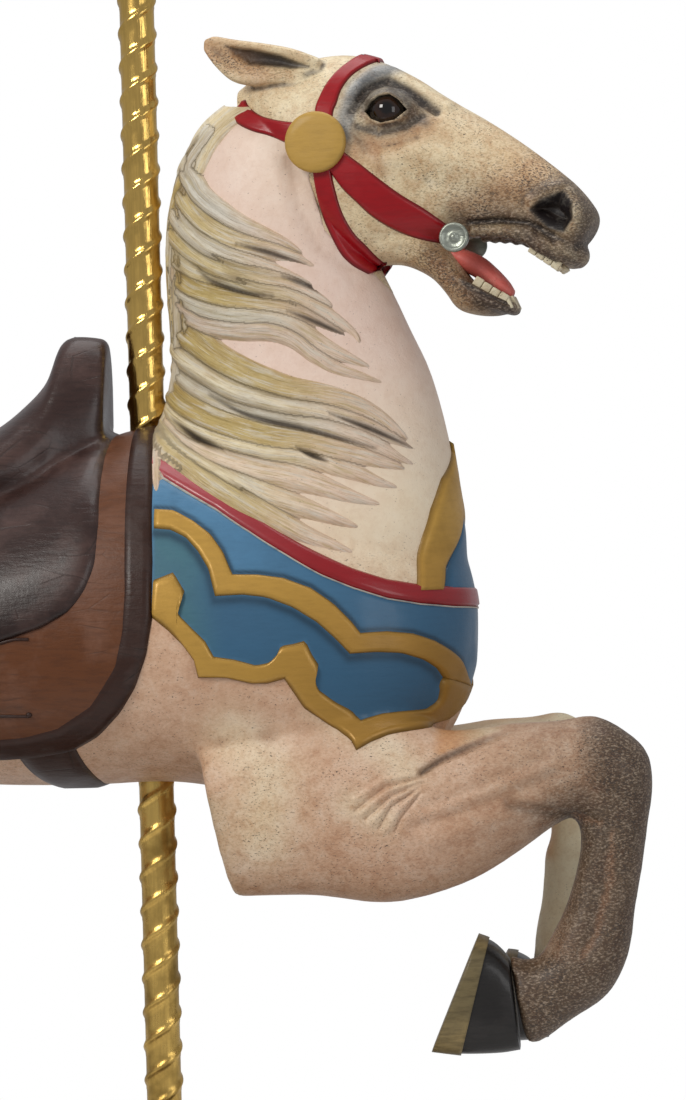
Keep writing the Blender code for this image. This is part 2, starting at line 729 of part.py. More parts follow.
def twisted_length(low, high, rings, radius):
    """Rings of the twisted surface: two ridges that climb the pole, with hollows between."""
    step = TWIST_LEAD / TWIST_STEPS
    count = int((high - low) / step)
    start = low + ((high - low) - count * step) / 2
    ridge = RIDGE_WIDTH / (2 * radius)
    angles = [-ridge, ridge, math.radians(65), math.radians(115)]
    radii = [radius, radius, radius - TWIST_DEPTH, radius - TWIST_DEPTH]
    for i in range(count + 1):
        height = start + i * step
        twist = math.tau * height / TWIST_LEAD
        ring = []
        for half in (0.0, math.pi):
            for angle, far in zip(angles, radii):
                turn = twist + half + angle
                ring.append((far * math.cos(turn), far * math.sin(turn), height))
        rings.append(ring)


def pole(parts, mat):
    """The brass pole: twisted where it shows, plain where it runs through the horse and its foot."""
    radius = POLE_DIAMETER / 2
    rings = []
    foot = BASE_THICKNESS - BASE_SOCKET_DEPTH + GAP
    twisted_length(BASE_THICKNESS + FLANGE_HEIGHT + PLAIN_END, BELLY_HEIGHT - PLAIN_END, rings, radius)
    twisted_length(WITHERS_HEIGHT, POLE_TOP - FINIAL_SKIRT - PLAIN_END, rings, radius)
    mesh = tube_mesh(with_plain_lengths(rings, radius, foot, POLE_TOP))
    return add_object("twisted_brass_pole", mesh, parts, mat)


def with_plain_lengths(rings, radius, foot, top):
    """Adds the plain foot, middle and head of the pole to its twisted rings."""
    plain = PLAIN_BLEND
    out = [plain_ring(rings[0], radius, foot), plain_ring(rings[0], radius, rings[0][0][2] - plain)]
    for ring, following in zip(rings, rings[1:]):
        out.append(ring)
        if following[0][2] - ring[0][2] > 2 * TWIST_LEAD / TWIST_STEPS:
            out.append(plain_ring(ring, radius, ring[0][2] + plain))
            out.append(plain_ring(following, radius, following[0][2] - plain))
    out.append(rings[-1])
    out.append(plain_ring(rings[-1], radius, rings[-1][0][2] + plain))
    out.append(plain_ring(rings[-1], radius, top))
    return out


def plain_ring(ring, radius, height):
    points = []
    first = math.atan2(ring[0][1], ring[0][0])
    for i in range(len(ring)):
        turn = first + math.tau * i / len(ring)
        points.append((radius * math.cos(turn), radius * math.sin(turn), height))
    return points


def stand(parts, cutters, wood, brass):
    outer = BASE_DIAMETER / 2
    base = turned("display_base", [
        (0.0, BASE_THICKNESS),
        (outer - 0.030, BASE_THICKNESS),
        (outer - 0.020, BASE_THICKNESS - 0.012),
        (outer - 0.008, BASE_THICKNESS - 0.016),
        (outer, BASE_THICKNESS - 0.028),
        (outer, 0.0),
        (0.0, 0.0),
    ], 44, parts, wood)
    hole = POLE_DIAMETER / 2 + GAP
    bpy.ops.mesh.primitive_cylinder_add(vertices=32, radius=hole, depth=2 * BASE_SOCKET_DEPTH,
                                        location=(0, 0, BASE_THICKNESS))
    socket = bpy.context.object
    socket.name = "base_socket"
    cut(base, as_cutter(socket, cutters))

    wide = FLANGE_DIAMETER / 2
    low = BASE_THICKNESS + GAP
    turned("pole_flange", [
        (hole, low + FLANGE_HEIGHT),
        (hole + 0.008, low + FLANGE_HEIGHT),
        (hole + 0.010, low + 0.016),
        (hole + 0.018, low + 0.010),
        (wide, low + 0.006),
        (wide, low),
        (hole, low),
        (hole, low + FLANGE_HEIGHT),
    ], 24, parts, brass)


def finial(parts, brass):
    """A turned cap that sleeves over the pole's top."""
    inner = POLE_DIAMETER / 2 + GAP
    wide = FINIAL_DIAMETER / 2
    top = POLE_TOP + FINIAL_HEIGHT
    turned("pole_finial", [
        (0.0, top),
        (wide * 0.45, top - 0.005),
        (wide * 0.70, top - 0.018),
        (wide * 0.54, top - 0.034),
        (wide * 0.52, POLE_TOP + 0.012),
        (wide, POLE_TOP + 0.005),
        (wide, POLE_TOP - FINIAL_SKIRT),
        (inner, POLE_TOP - FINIAL_SKIRT),
        (inner, POLE_TOP + GAP),
        (0.0, POLE_TOP + GAP),
    ], 24, parts, brass)


def fit_fittings(horse, parts, cutters):
    """Glass eyes, rosettes and bit bosses, each in its own seat in the head."""
    gold = material("gold_paint", (0.50, 0.33, 0.08), 0.45, 0.6)
    steel = material("dull_steel", (0.42, 0.44, 0.42), 0.4, 0.8)
    glass = material("brown_glass", (0.03, 0.012, 0.006), 0.05)
    for side, hand in ((-1, "right"), (1, "left")):
        for name, spot, half, thick, knob, mat in (
                ("bridle_rosette_", (24.5, 9.4, 143.6), ROSETTE_DIAMETER / 2, ROSETTE_THICKNESS, 0.0, gold),
                ("bit_boss_", (41.0, 6.6, 131.3), BOSS_DIAMETER / 2, BOSS_THICKNESS, BOSS_KNOB, steel)):
            place = head_point(spot[0], side * spot[1], spot[2])
            disc(name + hand, place, side, half, thick, knob, parts, mat)
            cut(horse, seat_cutter(name + hand + "_seat", place, side, half + GAP, thick * 4, cutters))
        eye = head_point(33.0, side * 6.5, 147.4)
        add_ball("glass_eye_" + hand, eye, EYE_DIAMETER / 2, parts, glass)
        socket = add_ball("eye_socket_" + hand, eye, EYE_DIAMETER / 2 + 2 * GAP, parts, None)
        cut(horse, as_cutter(socket, cutters))


def head_point(x, y, z):
    """A point of the straight-drawn head, after the head's turn, in metres."""
    ahead = x - POLL_X
    return real_point(x + y * math.sin(HEAD_TURN), y * math.cos(HEAD_TURN) - ahead * math.tan(HEAD_TURN), z)


def add_ball(name, place, radius, collection, mat):
    work = bmesh.new()
    bmesh.ops.create_uvsphere(work, u_segments=12, v_segments=7, radius=radius)
    mesh = bpy.data.meshes.new(name)
    work.to_mesh(mesh)
    work.free()
    made = add_object(name, mesh, collection, mat)
    made.location = place
    return made


def build():
    clear_scene()
    parts, cutters = make_collections()
    brass = material("polished_brass", (0.80, 0.56, 0.18), 0.25, 1.0)
    wood = material("stand_wood", (0.16, 0.08, 0.04), 0.5)
    horse = carved_horse(parts)
    pole(parts, brass)
    bpy.ops.mesh.primitive_cylinder_add(vertices=32, radius=POLE_DIAMETER / 2 + GAP, depth=1.2,
                                        location=(0, 0, (BELLY_HEIGHT + WITHERS_HEIGHT) / 2))
    bore = bpy.context.object
    bore.name = "pole_bore"
    cut(horse, as_cutter(bore, cutters))
    fit_fittings(horse, parts, cutters)
    stand(parts, cutters, wood, brass)
    finial(parts, brass)


build()
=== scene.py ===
import math
import random

import bmesh
import bpy
import numpy as np
from mathutils import Matrix, Vector
from mathutils.bvhtree import BVHTree


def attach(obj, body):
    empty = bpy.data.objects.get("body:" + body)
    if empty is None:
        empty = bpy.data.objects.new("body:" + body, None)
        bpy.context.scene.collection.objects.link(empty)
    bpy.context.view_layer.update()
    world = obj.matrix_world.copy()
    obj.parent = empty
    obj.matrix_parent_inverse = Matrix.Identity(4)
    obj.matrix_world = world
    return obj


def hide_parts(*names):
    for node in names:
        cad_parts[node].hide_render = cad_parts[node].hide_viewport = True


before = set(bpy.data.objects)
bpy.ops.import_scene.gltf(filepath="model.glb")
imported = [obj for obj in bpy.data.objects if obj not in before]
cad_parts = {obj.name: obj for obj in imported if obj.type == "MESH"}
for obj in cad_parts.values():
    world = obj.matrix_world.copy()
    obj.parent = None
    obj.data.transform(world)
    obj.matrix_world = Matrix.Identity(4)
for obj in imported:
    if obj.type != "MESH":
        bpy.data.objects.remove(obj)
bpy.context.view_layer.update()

# Working body. The horse is pine, carved from glued blocks, gessoed and painted by hand, and the
# paint is worn and speckled. It is shaped here in centimetres, with the same ribs all round it,
# then softened, and small cuts are pressed in along drawn lines.

CM = 0.01
POLL_X = 18.0
HEAD_TURN = math.radians(8.0)
LEG_SPREAD = 12.0
# The left knee is carried back, and the left hind leg forward, beside the right ones
KNEE_SET_BACK, ARM_LENGTH, ARM_START = 4.5, 46.0, 14.0
LEFT_HIND_FORWARD = 5.0
HALF_BLOCK = 40.0
BODY_CELL = 0.651
HEAD_CELL = 0.26
scene = bpy.context.scene


def tone(code):
    """A paint colour from its six-figure code, as linear light."""
    parts = [int(code[i:i + 2], 16) / 255 for i in (0, 2, 4)]
    return np.array([p / 12.92 if p <= 0.04045 else ((p + 0.055) / 1.055) ** 2.4 for p in parts])


def flow(rows, steps):
    """Rows of numbers with a smooth curve put through them."""
    rows = np.array(rows, dtype=float)
    ends = np.vstack([2 * rows[0] - rows[1], rows, 2 * rows[-1] - rows[-2]])
    t = (np.arange(steps) / steps)[:, None]
    out = []
    for a, b, c, d in zip(ends, ends[1:], ends[2:], ends[3:]):
        out.append(0.5 * (2 * b + (c - a) * t + (2 * a - 5 * b + 4 * c - d) * t * t
                          + (3 * b - a - 3 * c + d) * t ** 3))
    return np.vstack(out + [rows[-1:]])


def grid_mesh(rings):
    """A closed mesh through rings of points, capped with flat ends."""
    rings = np.asarray(rings, dtype=float)
    rows, count = rings.shape[:2]
    index = np.arange(rows * count).reshape(rows, count)
    following = np.roll(index, -1, axis=1)
    quads = np.stack([index[:-1], following[:-1], following[1:], index[1:]], axis=-1).reshape(-1, 4)
    faces = quads.tolist() + [index[0].tolist()[::-1], index[-1].tolist()]
    mesh = bpy.data.meshes.new("grid")
    mesh.from_pydata(rings.reshape(-1, 3).tolist(), [], faces)
    return mesh


def outward(mesh):
    """Faces all turned outward."""
    work = bmesh.new()
    work.from_mesh(mesh)
    bmesh.ops.recalc_face_normals(work, faces=work.faces)
    work.to_mesh(mesh)
    work.free()
    return mesh


def loft(ribs, side=0.0, steps=4, around=36, scoop=0.0, square=1.0):
    """A body through ribs: top x, top z, low x, low z, half breadth, and how much the top narrows."""
    rows = [list(rib) + [0.0] * (6 - len(rib)) for rib in ribs]
    turn = np.arange(around) * math.tau / around
    up, out = (np.sign(v) * np.abs(v) ** square for v in (np.sin(turn), np.cos(turn)))
    rings = []
    for top_x, top_z, low_x, low_z, half, taper in flow(rows, steps):
        share = 0.5 + 0.5 * up
        breadth = max(half, 0.1) * out * (1.0 - taper * up)
        if scoop:
            breadth = np.where(out * side > 0, breadth * (1.0 - scoop * (1.0 - up * up)), breadth)
        rings.append(np.stack([low_x + (top_x - low_x) * share, side + breadth,
                               low_z + (top_z - low_z) * share], axis=-1))
    return outward(grid_mesh(rings))


def ball(x, y, z, radius, stretch=(1.0, 1.0, 1.0)):
    """A round body at a place, stretched along the three axes."""
    work = bmesh.new()
    bmesh.ops.create_uvsphere(work, u_segments=28, v_segments=18, radius=radius)
    bmesh.ops.scale(work, vec=stretch, verts=work.verts)
    bmesh.ops.translate(work, vec=(x, y, z), verts=work.verts)
    mesh = bpy.data.meshes.new("ball")
    work.to_mesh(mesh)
    work.free()
    return mesh


def points_of(mesh):
    spots = np.empty(len(mesh.vertices) * 3)
    mesh.vertices.foreach_get("co", spots)
    return spots.reshape(-1, 3)


def set_points(mesh, spots):
    mesh.vertices.foreach_set("co", np.asarray(spots, dtype=float).ravel())
    mesh.update()


def normals_of(mesh):
    out = np.empty(len(mesh.vertices) * 3)
    mesh.vertices.foreach_get("normal", out)
    return out.reshape(-1, 3)


def turned(spots):
    """The head is drawn straight, and then turned a little to the decorated side."""
    x, y, z = spots[:, 0], spots[:, 1], spots[:, 2]
    return np.stack([x + y * math.sin(HEAD_TURN),
                     y * math.cos(HEAD_TURN) - (x - POLL_X) * math.tan(HEAD_TURN), z], axis=1)


def straight(spots):
    """The same turn undone."""
    x, y, z = spots[:, 0], spots[:, 1], spots[:, 2]
    across = math.cos(HEAD_TURN) * (y + (x - POLL_X) * math.tan(HEAD_TURN))
    return np.stack([x - across * math.sin(HEAD_TURN), across, z], axis=1)


def turn_mesh(mesh):
    set_points(mesh, turned(points_of(mesh)))
    return mesh


def join(meshes):
    """Several meshes as one, each keeping its own shells."""
    work = bmesh.new()
    for mesh in meshes:
        work.from_mesh(mesh)
    joined = bpy.data.meshes.new("joined")
    work.to_mesh(joined)
    work.free()
    return joined


def add(name, mesh):
    made = bpy.data.objects.new(name, mesh)
    scene.collection.objects.link(made)
    return made


def applied(made):
    """The object's mesh with its modifiers applied; the object itself is removed."""
    mesh = bpy.data.meshes.new_from_object(made.evaluated_get(bpy.context.evaluated_depsgraph_get()))
    bpy.data.objects.remove(made, do_unlink=True)
    return mesh


def fuse(meshes, cell):
    """Overlapping bodies joined under one skin, at the fineness of cell."""
    made = add("fused", join(meshes))
    mod = made.modifiers.new("fuse", "REMESH")
    mod.mode = "VOXEL"
    mod.voxel_size = cell
    return applied(made)


def edges_of(mesh):
    edges = np.empty(len(mesh.edges) * 2, dtype=int)
    mesh.edges.foreach_get("vertices", edges)
    return edges.reshape(-1, 2)


def spread(values, edges, rounds, share=0.5):
    """Values at the corners, evened out along the edges."""
    values = np.asarray(values, dtype=float)
    flat = values.reshape(len(values), -1)
    count = np.bincount(edges.ravel(), minlength=len(flat))[:, None]
    both = np.concatenate([edges[:, 0], edges[:, 1]])
    other = np.concatenate([edges[:, 1], edges[:, 0]])
    for _ in range(rounds):
        total = np.stack([np.bincount(both, flat[other, k], len(flat)) for k in range(flat.shape[1])], axis=1)
        flat = flat + (total / np.maximum(count, 1) - flat) * share
    return flat.reshape(values.shape)


def relax(mesh, rounds):
    """Softens a mesh by evening out its corners."""
    set_points(mesh, spread(points_of(mesh), edges_of(mesh), rounds))


def hollows(mesh, rounds):
    """How far each corner lies below its surroundings: positive in grooves, negative on edges."""
    spots = points_of(mesh)
    even = spread(spots, edges_of(mesh), rounds)
    return np.einsum("ij,ij->i", even - spots, normals_of(mesh))


def line_distance(flat, line):
    """Distance of flat points from an open line."""
    best = np.full(len(flat), 1e9)
    line = np.array(line, dtype=float)
    for a, b in zip(line, line[1:]):
        run = b - a
        t = np.clip(((flat - a) @ run) / (run @ run + 1e-12), 0, 1)
        best = np.minimum(best, np.linalg.norm(flat - (a + t[:, None] * run), axis=1))
    return best


def inside(flat, outline):
    """Signed distance from a closed outline, positive inside."""
    outline = np.array(outline, dtype=float)
    within = np.zeros(len(flat), dtype=bool)
    for a, b in zip(outline, np.roll(outline, -1, axis=0)):
        crosses = (a[1] > flat[:, 1]) != (b[1] > flat[:, 1])
        within ^= crosses & (flat[:, 0] < a[0] + (flat[:, 1] - a[1]) / (b[1] - a[1] + 1e-12) * (b[0] - a[0]))
    far = line_distance(flat, np.vstack([outline, outline[:1]]))
    return np.where(within, far, -far)


def step(value, low, high):
    """A soft rise from 0 at low to 1 at high."""
    t = np.clip((value - low) / (high - low), 0, 1)
    return t * t * (3 - 2 * t)


def near(flat, line, reach):
    """1 on a drawn line, fading out over about its reach."""
    return np.exp(-(line_distance(flat, line) / reach) ** 2)


def cuts(flat, strokes):
    """Sum of soft strokes pressed in or raised along drawn lines: (line, reach, height)."""
    total = np.zeros(len(flat))
    for line, reach, height in strokes:
        total += height * near(flat, line, reach)
    return total


def mix(a, b, share):
    """Colours a, with b laid over them by its share at each corner."""
    share = np.clip(share, 0, 1)[:, None]
    return a * (1 - share) + b * share


def coated(colours, flat, coats):
    """Soft coats brushed on along drawn lines: (colour, strength, line, reach)."""
    for coat, strength, line, reach in coats:
        colours = mix(colours, coat, strength * near(flat, line, reach))
    return colours


def all_over(colour, count):
    """One colour for every corner."""
    return np.tile(colour, (count, 1))


def paint_mesh(mesh, colours, alpha=None):
    """Colours at the corners of a mesh, with a fourth value for the material's own use."""
    alpha = np.ones(len(colours)) if alpha is None else alpha
    layer = mesh.color_attributes.new("paint", "FLOAT_COLOR", "POINT")
    layer.data.foreach_set("color", np.column_stack([np.clip(colours, 0, 1), np.clip(alpha, 0, 1)]).ravel())


def smooth(mesh):
    mesh.polygons.foreach_set("use_smooth", np.ones(len(mesh.polygons), dtype=bool))
    mesh.update()


def torso():
    """Barrel, croup and chest."""
    return loft([
        (-66.5, 91, -66.5, 84, 3), (-63.5, 99, -64, 75, 12), (-57, 103.5, -58.5, 69, 16.5),
        (-49, 105.5, -50, 66.5, 18.5), (-39, 104.5, -40, 66.5, 18.5), (-29, 102.5, -30, 64.8, 19.5, 0.04),
        (-19, 102.5, -19, 64, 20.5, 0.08), (-9, 106, -8, 63.8, 20.5, 0.1), (0, 108.7, 2, 64.0, 20.5, 0.12),
        (9, 108, 10, 62.6, 20.3, 0.12), (19, 106, 20, 58.5, 19.6, 0.06), (28, 102, 28, 60.5, 17.8),
        (35, 97.5, 34.5, 65.5, 14.2), (39.8, 92, 38.8, 71.5, 9.0), (41.4, 86, 41.1, 78, 4.0),
    ], around=56)


def neck():
    """Arched neck, with the throat at its lower ends."""
    return loft([
        (3, 96, 38.5, 78, 15.5), (1.5, 106, 40.2, 92, 14.6, 0.12), (3.2, 111, 39.3, 100.5, 12.4, 0.14),
        (4.3, 116, 38.3, 107.5, 10.8, 0.14), (4.4, 121, 36.4, 115, 9.8, 0.14),
        (4.1, 126, 34.0, 120.5, 9.1, 0.14), (4.0, 131, 32.2, 124.6, 8.7, 0.14),
        (4.6, 136.5, 30.6, 128.0, 8.4, 0.14), (6.1, 142, 29, 131.5, 8.1, 0.14),
        (9.2, 147, 27, 136, 7.7, 0.12), (14.0, 150.4, 26.5, 141, 7.2, 0.1), (18, 152.5, 27, 146, 6.5, 0.1),
    ], around=48)


def skull():
    """Poll, brow, nose and upper jaw."""
    return loft([
        (12.8, 151.6, 13.5, 147.5, 3.0), (16.5, 153.8, 16.5, 143.5, 6.0),
        (21.5, 155.0, 19.8, 138.5, 7.8, 0.12),
        (26.5, 155.5, 23.8, 133, 8.7, 0.12), (31.0, 154.5, 28.0, 129.2, 8.8, 0.06),
        (35.4, 152.2, 32.5, 129.2, 8.2, -0.02), (39.5, 149.4, 37.2, 130.6, 7.2, 0.02),
        (44.2, 146.5, 42.0, 131.6, 6.2, 0.1), (48.5, 143.5, 46.0, 131.8, 5.4, 0.12),
        (52.4, 140.4, 49.6, 131.0, 5.1, 0.06), (55.4, 137.7, 52.2, 129.8, 5.4, -0.04),
        (57.4, 135.2, 54.0, 129.2, 5.2, -0.1), (58.1, 133.6, 55.4, 129.4, 4.2, -0.1),
        (57.7, 132.4, 56.4, 130.4, 2.6),
    ], around=48)


def roll(line, steps=5, around=14):
    """A rounded bead through points given as x, y, z and radius."""
    path = flow(line, steps)
    ahead = np.gradient(path[:, :3], axis=0)
    ahead /= np.linalg.norm(ahead, axis=1)[:, None]
    across = np.cross(ahead, [0.0, 0.0, 1.0])
    across /= np.linalg.norm(across, axis=1)[:, None]
    up = np.cross(across, ahead)
    turn = np.arange(around)[None, :, None] * math.tau / around
    rings = path[:, None, :3] + path[:, None, 3:] * (
        np.cos(turn) * across[:, None] + np.sin(turn) * up[:, None])
    return outward(grid_mesh(rings))


EYE = (33.0, 6.6, 147.4)
EYE_RADIUS = 2.2
EYE_OPENING = [(30.4, 147.3), (31.2, 148.4), (32.2, 149.1), (33.6, 149.3), (34.8, 148.5), (35.7, 147.3),
               (34.3, 146.0),
               (32.6, 145.7), (31.2, 146.3)]


def lid(side):
    """A raised rim round the eye's opening, drawn close round the glass."""
    ring = []
    for x, z in EYE_OPENING + EYE_OPENING[:2]:
        far = math.hypot(x - EYE[0], z - EYE[2])
        ring.append((x, side * (EYE[1] + math.sqrt(max(2.7 ** 2 - far ** 2, 0.5)) - 0.1), z, 0.34))
    return roll(ring)


def lips():
    """Rounded edges of both lips, from one corner of the mouth round to the other."""
    upper = [(42.6, 4.3, 132.2, 0.8), (46.5, 4.2, 132.0, 0.95), (49.8, 3.9, 131.3, 1.2),
             (52.2, 3.6, 129.9, 1.4),
             (54.2, 2.7, 129.2, 1.6), (55.0, 1.2, 129.0, 1.7)]
    lower = [(40.6, 3.8, 126.4, 0.6), (43.2, 3.9, 124.5, 0.8), (45.4, 3.5, 123.2, 0.85),
             (46.7, 2.3, 122.7, 0.85),
             (47.1, 1.0, 122.6, 0.85)]
    out = []
    for line in (upper, lower):
        mirrored = [(x, -y, z, r) for x, y, z, r in line[::-1]]
        out.append(roll(line + mirrored))
    return out


def lower_jaw():
    """The round cheek, and the open lower jaw below it."""
    return loft([
        (31, 138, 29.5, 128.6, 5.6), (35, 134.5, 33.3, 128.6, 5.2), (38.6, 131.5, 36.7, 127.0, 4.6),
        (40.6, 129.0, 38.6, 125.0, 4.2), (42.0, 126.6, 40.2, 122.8, 3.9), (44.3, 125.0, 42.8, 121.9, 3.8),
        (46.3, 123.9, 45.4, 121.8, 3.4), (47.3, 123.5, 47.0, 122.4, 2.2),
    ], around=32)


def ear(side):
    """An ear laid back, scooped out on its outer side."""
    mesh = loft([
        (24.5, 154.6, 23.5, 150.6, 2.4), (21.0, 156.0, 20.0, 151.6, 2.8), (17.4, 156.8, 16.6, 151.4, 2.9),
        (13.8, 157.4, 13.6, 152.0, 2.4), (11.4, 157.9, 11.4, 154.0, 1.6), (10.0, 157.5, 9.8, 156.3, 0.6),
    ], side=side * 4.6, around=28, scoop=0.85)
    spots = points_of(mesh)
    spots[:, 1] += side * 2.2 * np.maximum(0.0, 24.0 - spots[:, 0]) / 14.0
    set_points(mesh, spots)
    return mesh


def foreleg(side):
    """The arm runs forward to the knee, and the shin folds down and back. The left shin hangs nearer."""
    leg = [
        (6.8, 70, 10.9, 50.2, 6.2), (14, 74, 15.5, 50.3, 7.2), (22, 75, 21.5, 50.2, 8.2),
        (31, 73, 28.8, 49.2, 8.2), (37.6, 70.4, 34.2, 49.8, 7.6), (45.6, 71.1, 40.6, 51.9, 6.8),
        (51.5, 71.3, 45.9, 55.0, 6.2), (56.0, 71.8, 50.8, 58.4, 5.8), (60.0, 69.6, 53.3, 59.3, 5.7),
        (62.4, 67.0, 53.8, 57.6, 5.3), (62.9, 63.0, 53.8, 55.8, 4.8), (62.2, 58.5, 53.4, 53.6, 4.3),
        (61.4, 53.2, 52.6, 50.8, 4.0), (60.4, 48.1, 51.4, 47.6, 4.0), (59.4, 42.3, 49.8, 44.7, 4.5),
        (56.8, 37.5, 48.6, 42.6, 4.6), (52.2, 34.4, 46.8, 41.8, 4.2), (48.6, 31.9, 45.4, 42.4, 4.3),
        (46.6, 31.4, 44.6, 42.6, 4.4),
    ]
    if side > 0:
        leg = [set_back(rib) for rib in leg[:11]] + [
            (57.9, 57.7, 49.0, 52.8, 4.3), (57.6, 52.6, 48.8, 50.0, 4.0), (57.4, 47.6, 48.4, 46.6, 4.0),
            (57.0, 41.4, 47.6, 43.0, 4.5), (55.2, 37.6, 47.4, 40.4, 4.6), (52.2, 33.6, 47.2, 38.9, 4.2),
            (50.0, 30.6, 47.3, 38.6, 4.3), (48.4, 30.0, 47.0, 39.0, 4.4),
        ]
    return loft(leg, side * LEG_SPREAD, around=32)


def set_back(rib):
    """The left knee is carried a little further back and lower than the right one."""
    top_x, top_z, low_x, low_z, half = rib
    far = KNEE_SET_BACK / ARM_LENGTH
    return (top_x - (top_x - ARM_START) * far, top_z - 0.6, low_x - (low_x - ARM_START) * far, low_z - 0.8,
            half)


def hind_ribs(ribs, side):
    """The left hind leg's ribs stand further forward."""
    shift = LEFT_HIND_FORWARD if side > 0 else 0.0
    return [(a + shift, b, c + shift, d, w) for a, b, c, d, w in ribs]


def hindleg(side):
    """The thigh runs down to the hock, and the shin trails behind it."""
    leg = [
        (-38, 95, -63, 96, 6.0), (-36, 85, -65, 86, 8.0), (-35.5, 75, -63.5, 76.5, 8.4),
        (-38, 67.5, -61.0, 70, 7.8), (-43.0, 61.8, -60.5, 65.0, 6.8), (-50.0, 56.5, -62.3, 61.8, 5.5),
        (-56.5, 52.0, -66.4, 59.8, 4.6), (-61.5, 48.0, -71.4, 56.8, 4.4), (-65.2, 43.6, -74.4, 51.8, 4.2),
        (-68.6, 39.4, -75.8, 46.2, 3.7), (-72.0, 34.8, -78.3, 40.8, 3.6), (-75.6, 30.0, -82.6, 37.0, 4.1),
        (-77.2, 27.2, -85.4, 33.6, 4.1), (-78.0, 24.8, -86.8, 30.0, 4.2),
    ]
    return loft(hind_ribs(leg, side), side * LEG_SPREAD, around=32)


def tail():
    """A short full tail that hangs clear of the hocks."""
    return loft([
        (-58, 104, -60, 97, 3.5), (-65, 104.0, -62.5, 95, 4.2), (-71.5, 101.0, -63.5, 90, 5.0),
        (-75.8, 93.6, -65.0, 84, 5.6), (-78.0, 84, -67.3, 77, 6.0), (-79.8, 74.7, -70.5, 69.7, 5.4),
        (-82.6, 66.3, -75.3, 62.2, 3.9), (-86.0, 60.6, -81.5, 57.7, 2.0),
    ], around=32)


# Where the neck's carving meets the head's, under the bridle straps, seen from the side
HEAD_LINE = [(5, 152.0), (12.5, 149.0), (17.8, 146.0), (22.0, 143.7), (22.2, 139.0), (23.8, 133.0),
             (26.8, 129.6), (29.8, 127.4), (39, 118), (70, 118), (70, 170), (5, 170)]
head_parts = [skull(), *lips(), lower_jaw(), ear(-1), ear(1)]
head_parts += [ball(54.2, 0.0, 129.3, 2.0, (1.0, 1.9, 1.0))]
head_parts += [ball(33.0, side * 5.4, 147.5, 3.3, (1.15, 0.9, 0.95)) for side in (-1, 1)]
head_parts += [lid(side) for side in (-1, 1)]
head_parts = [turn_mesh(mesh) for mesh in head_parts]
trunk_parts = [torso(), neck(), tail(), foreleg(-1), foreleg(1), hindleg(-1), hindleg(1)]

whole = fuse(trunk_parts + head_parts, BODY_CELL)
relax(whole, 6)
fine_head = fuse([neck()] + head_parts, HEAD_CELL)
relax(fine_head, 7)

# Trunk, legs and neck. The muscle is carved broad and smooth, with folds in the skin where the
# forearm meets the chest and cords along the legs. Ground colour is peach over cream, with rust
# mottling on the shoulder, and it turns grey-brown and flecked from the knees and hocks down.

PEACH, CREAM, RUST = tone("D6B397"), tone("EADCBE"), tone("B07F5C")
PINK, KHAKI, LEG_BROWN = tone("E4CBBC"), tone("B7A987"), tone("66533F")
FAR_CREAM, STAIN, CLEFT_SHADE, SKIN_SHADE = tone("D8CDAE"), tone("C48A4E"), tone("4A3B2A"), tone("A07A5C")
WRINKLES = [[(34.9, 65.0), (30.4, 64.1), (26.8, 61.4)], [(35.0, 64.5), (31.2, 63.0), (27.9, 60.2)],
            [(34.8, 64.0), (31.0, 61.6), (29.5, 59.0)], [(34.6, 63.2), (32.2, 60.2), (31.4, 58.6)]]
FOLDS = [[(34.6, 65.6), (30.2, 64.9), (26.7, 62.6)], [(34.8, 64.8), (30.8, 63.6), (27.3, 60.8)],
         [(34.8, 64.3), (31.1, 62.4), (28.6, 59.6)], [(34.7, 63.6), (31.7, 60.9), (30.4, 58.8)]]
# The cleft where the near arm lifts off the chest
ARM_LINE = [(34.8, 65.6), (37.2, 67.1), (40.6, 68.5), (44.0, 69.7), (47.2, 70.8)]


def finer(mesh, low, high):
    """Splits the faces whose middles lie in a box."""
    work = bmesh.new()
    work.from_mesh(mesh)
    edges = set()
    for face in work.faces:
        middle = face.calc_center_median()
        if all(a < v < b for a, v, b in zip(low, middle, high)):
            edges.update(face.edges)
    bmesh.ops.subdivide_edges(work, edges=list(edges), cuts=1, use_grid_fill=True)
    work.to_mesh(mesh)
    work.free()


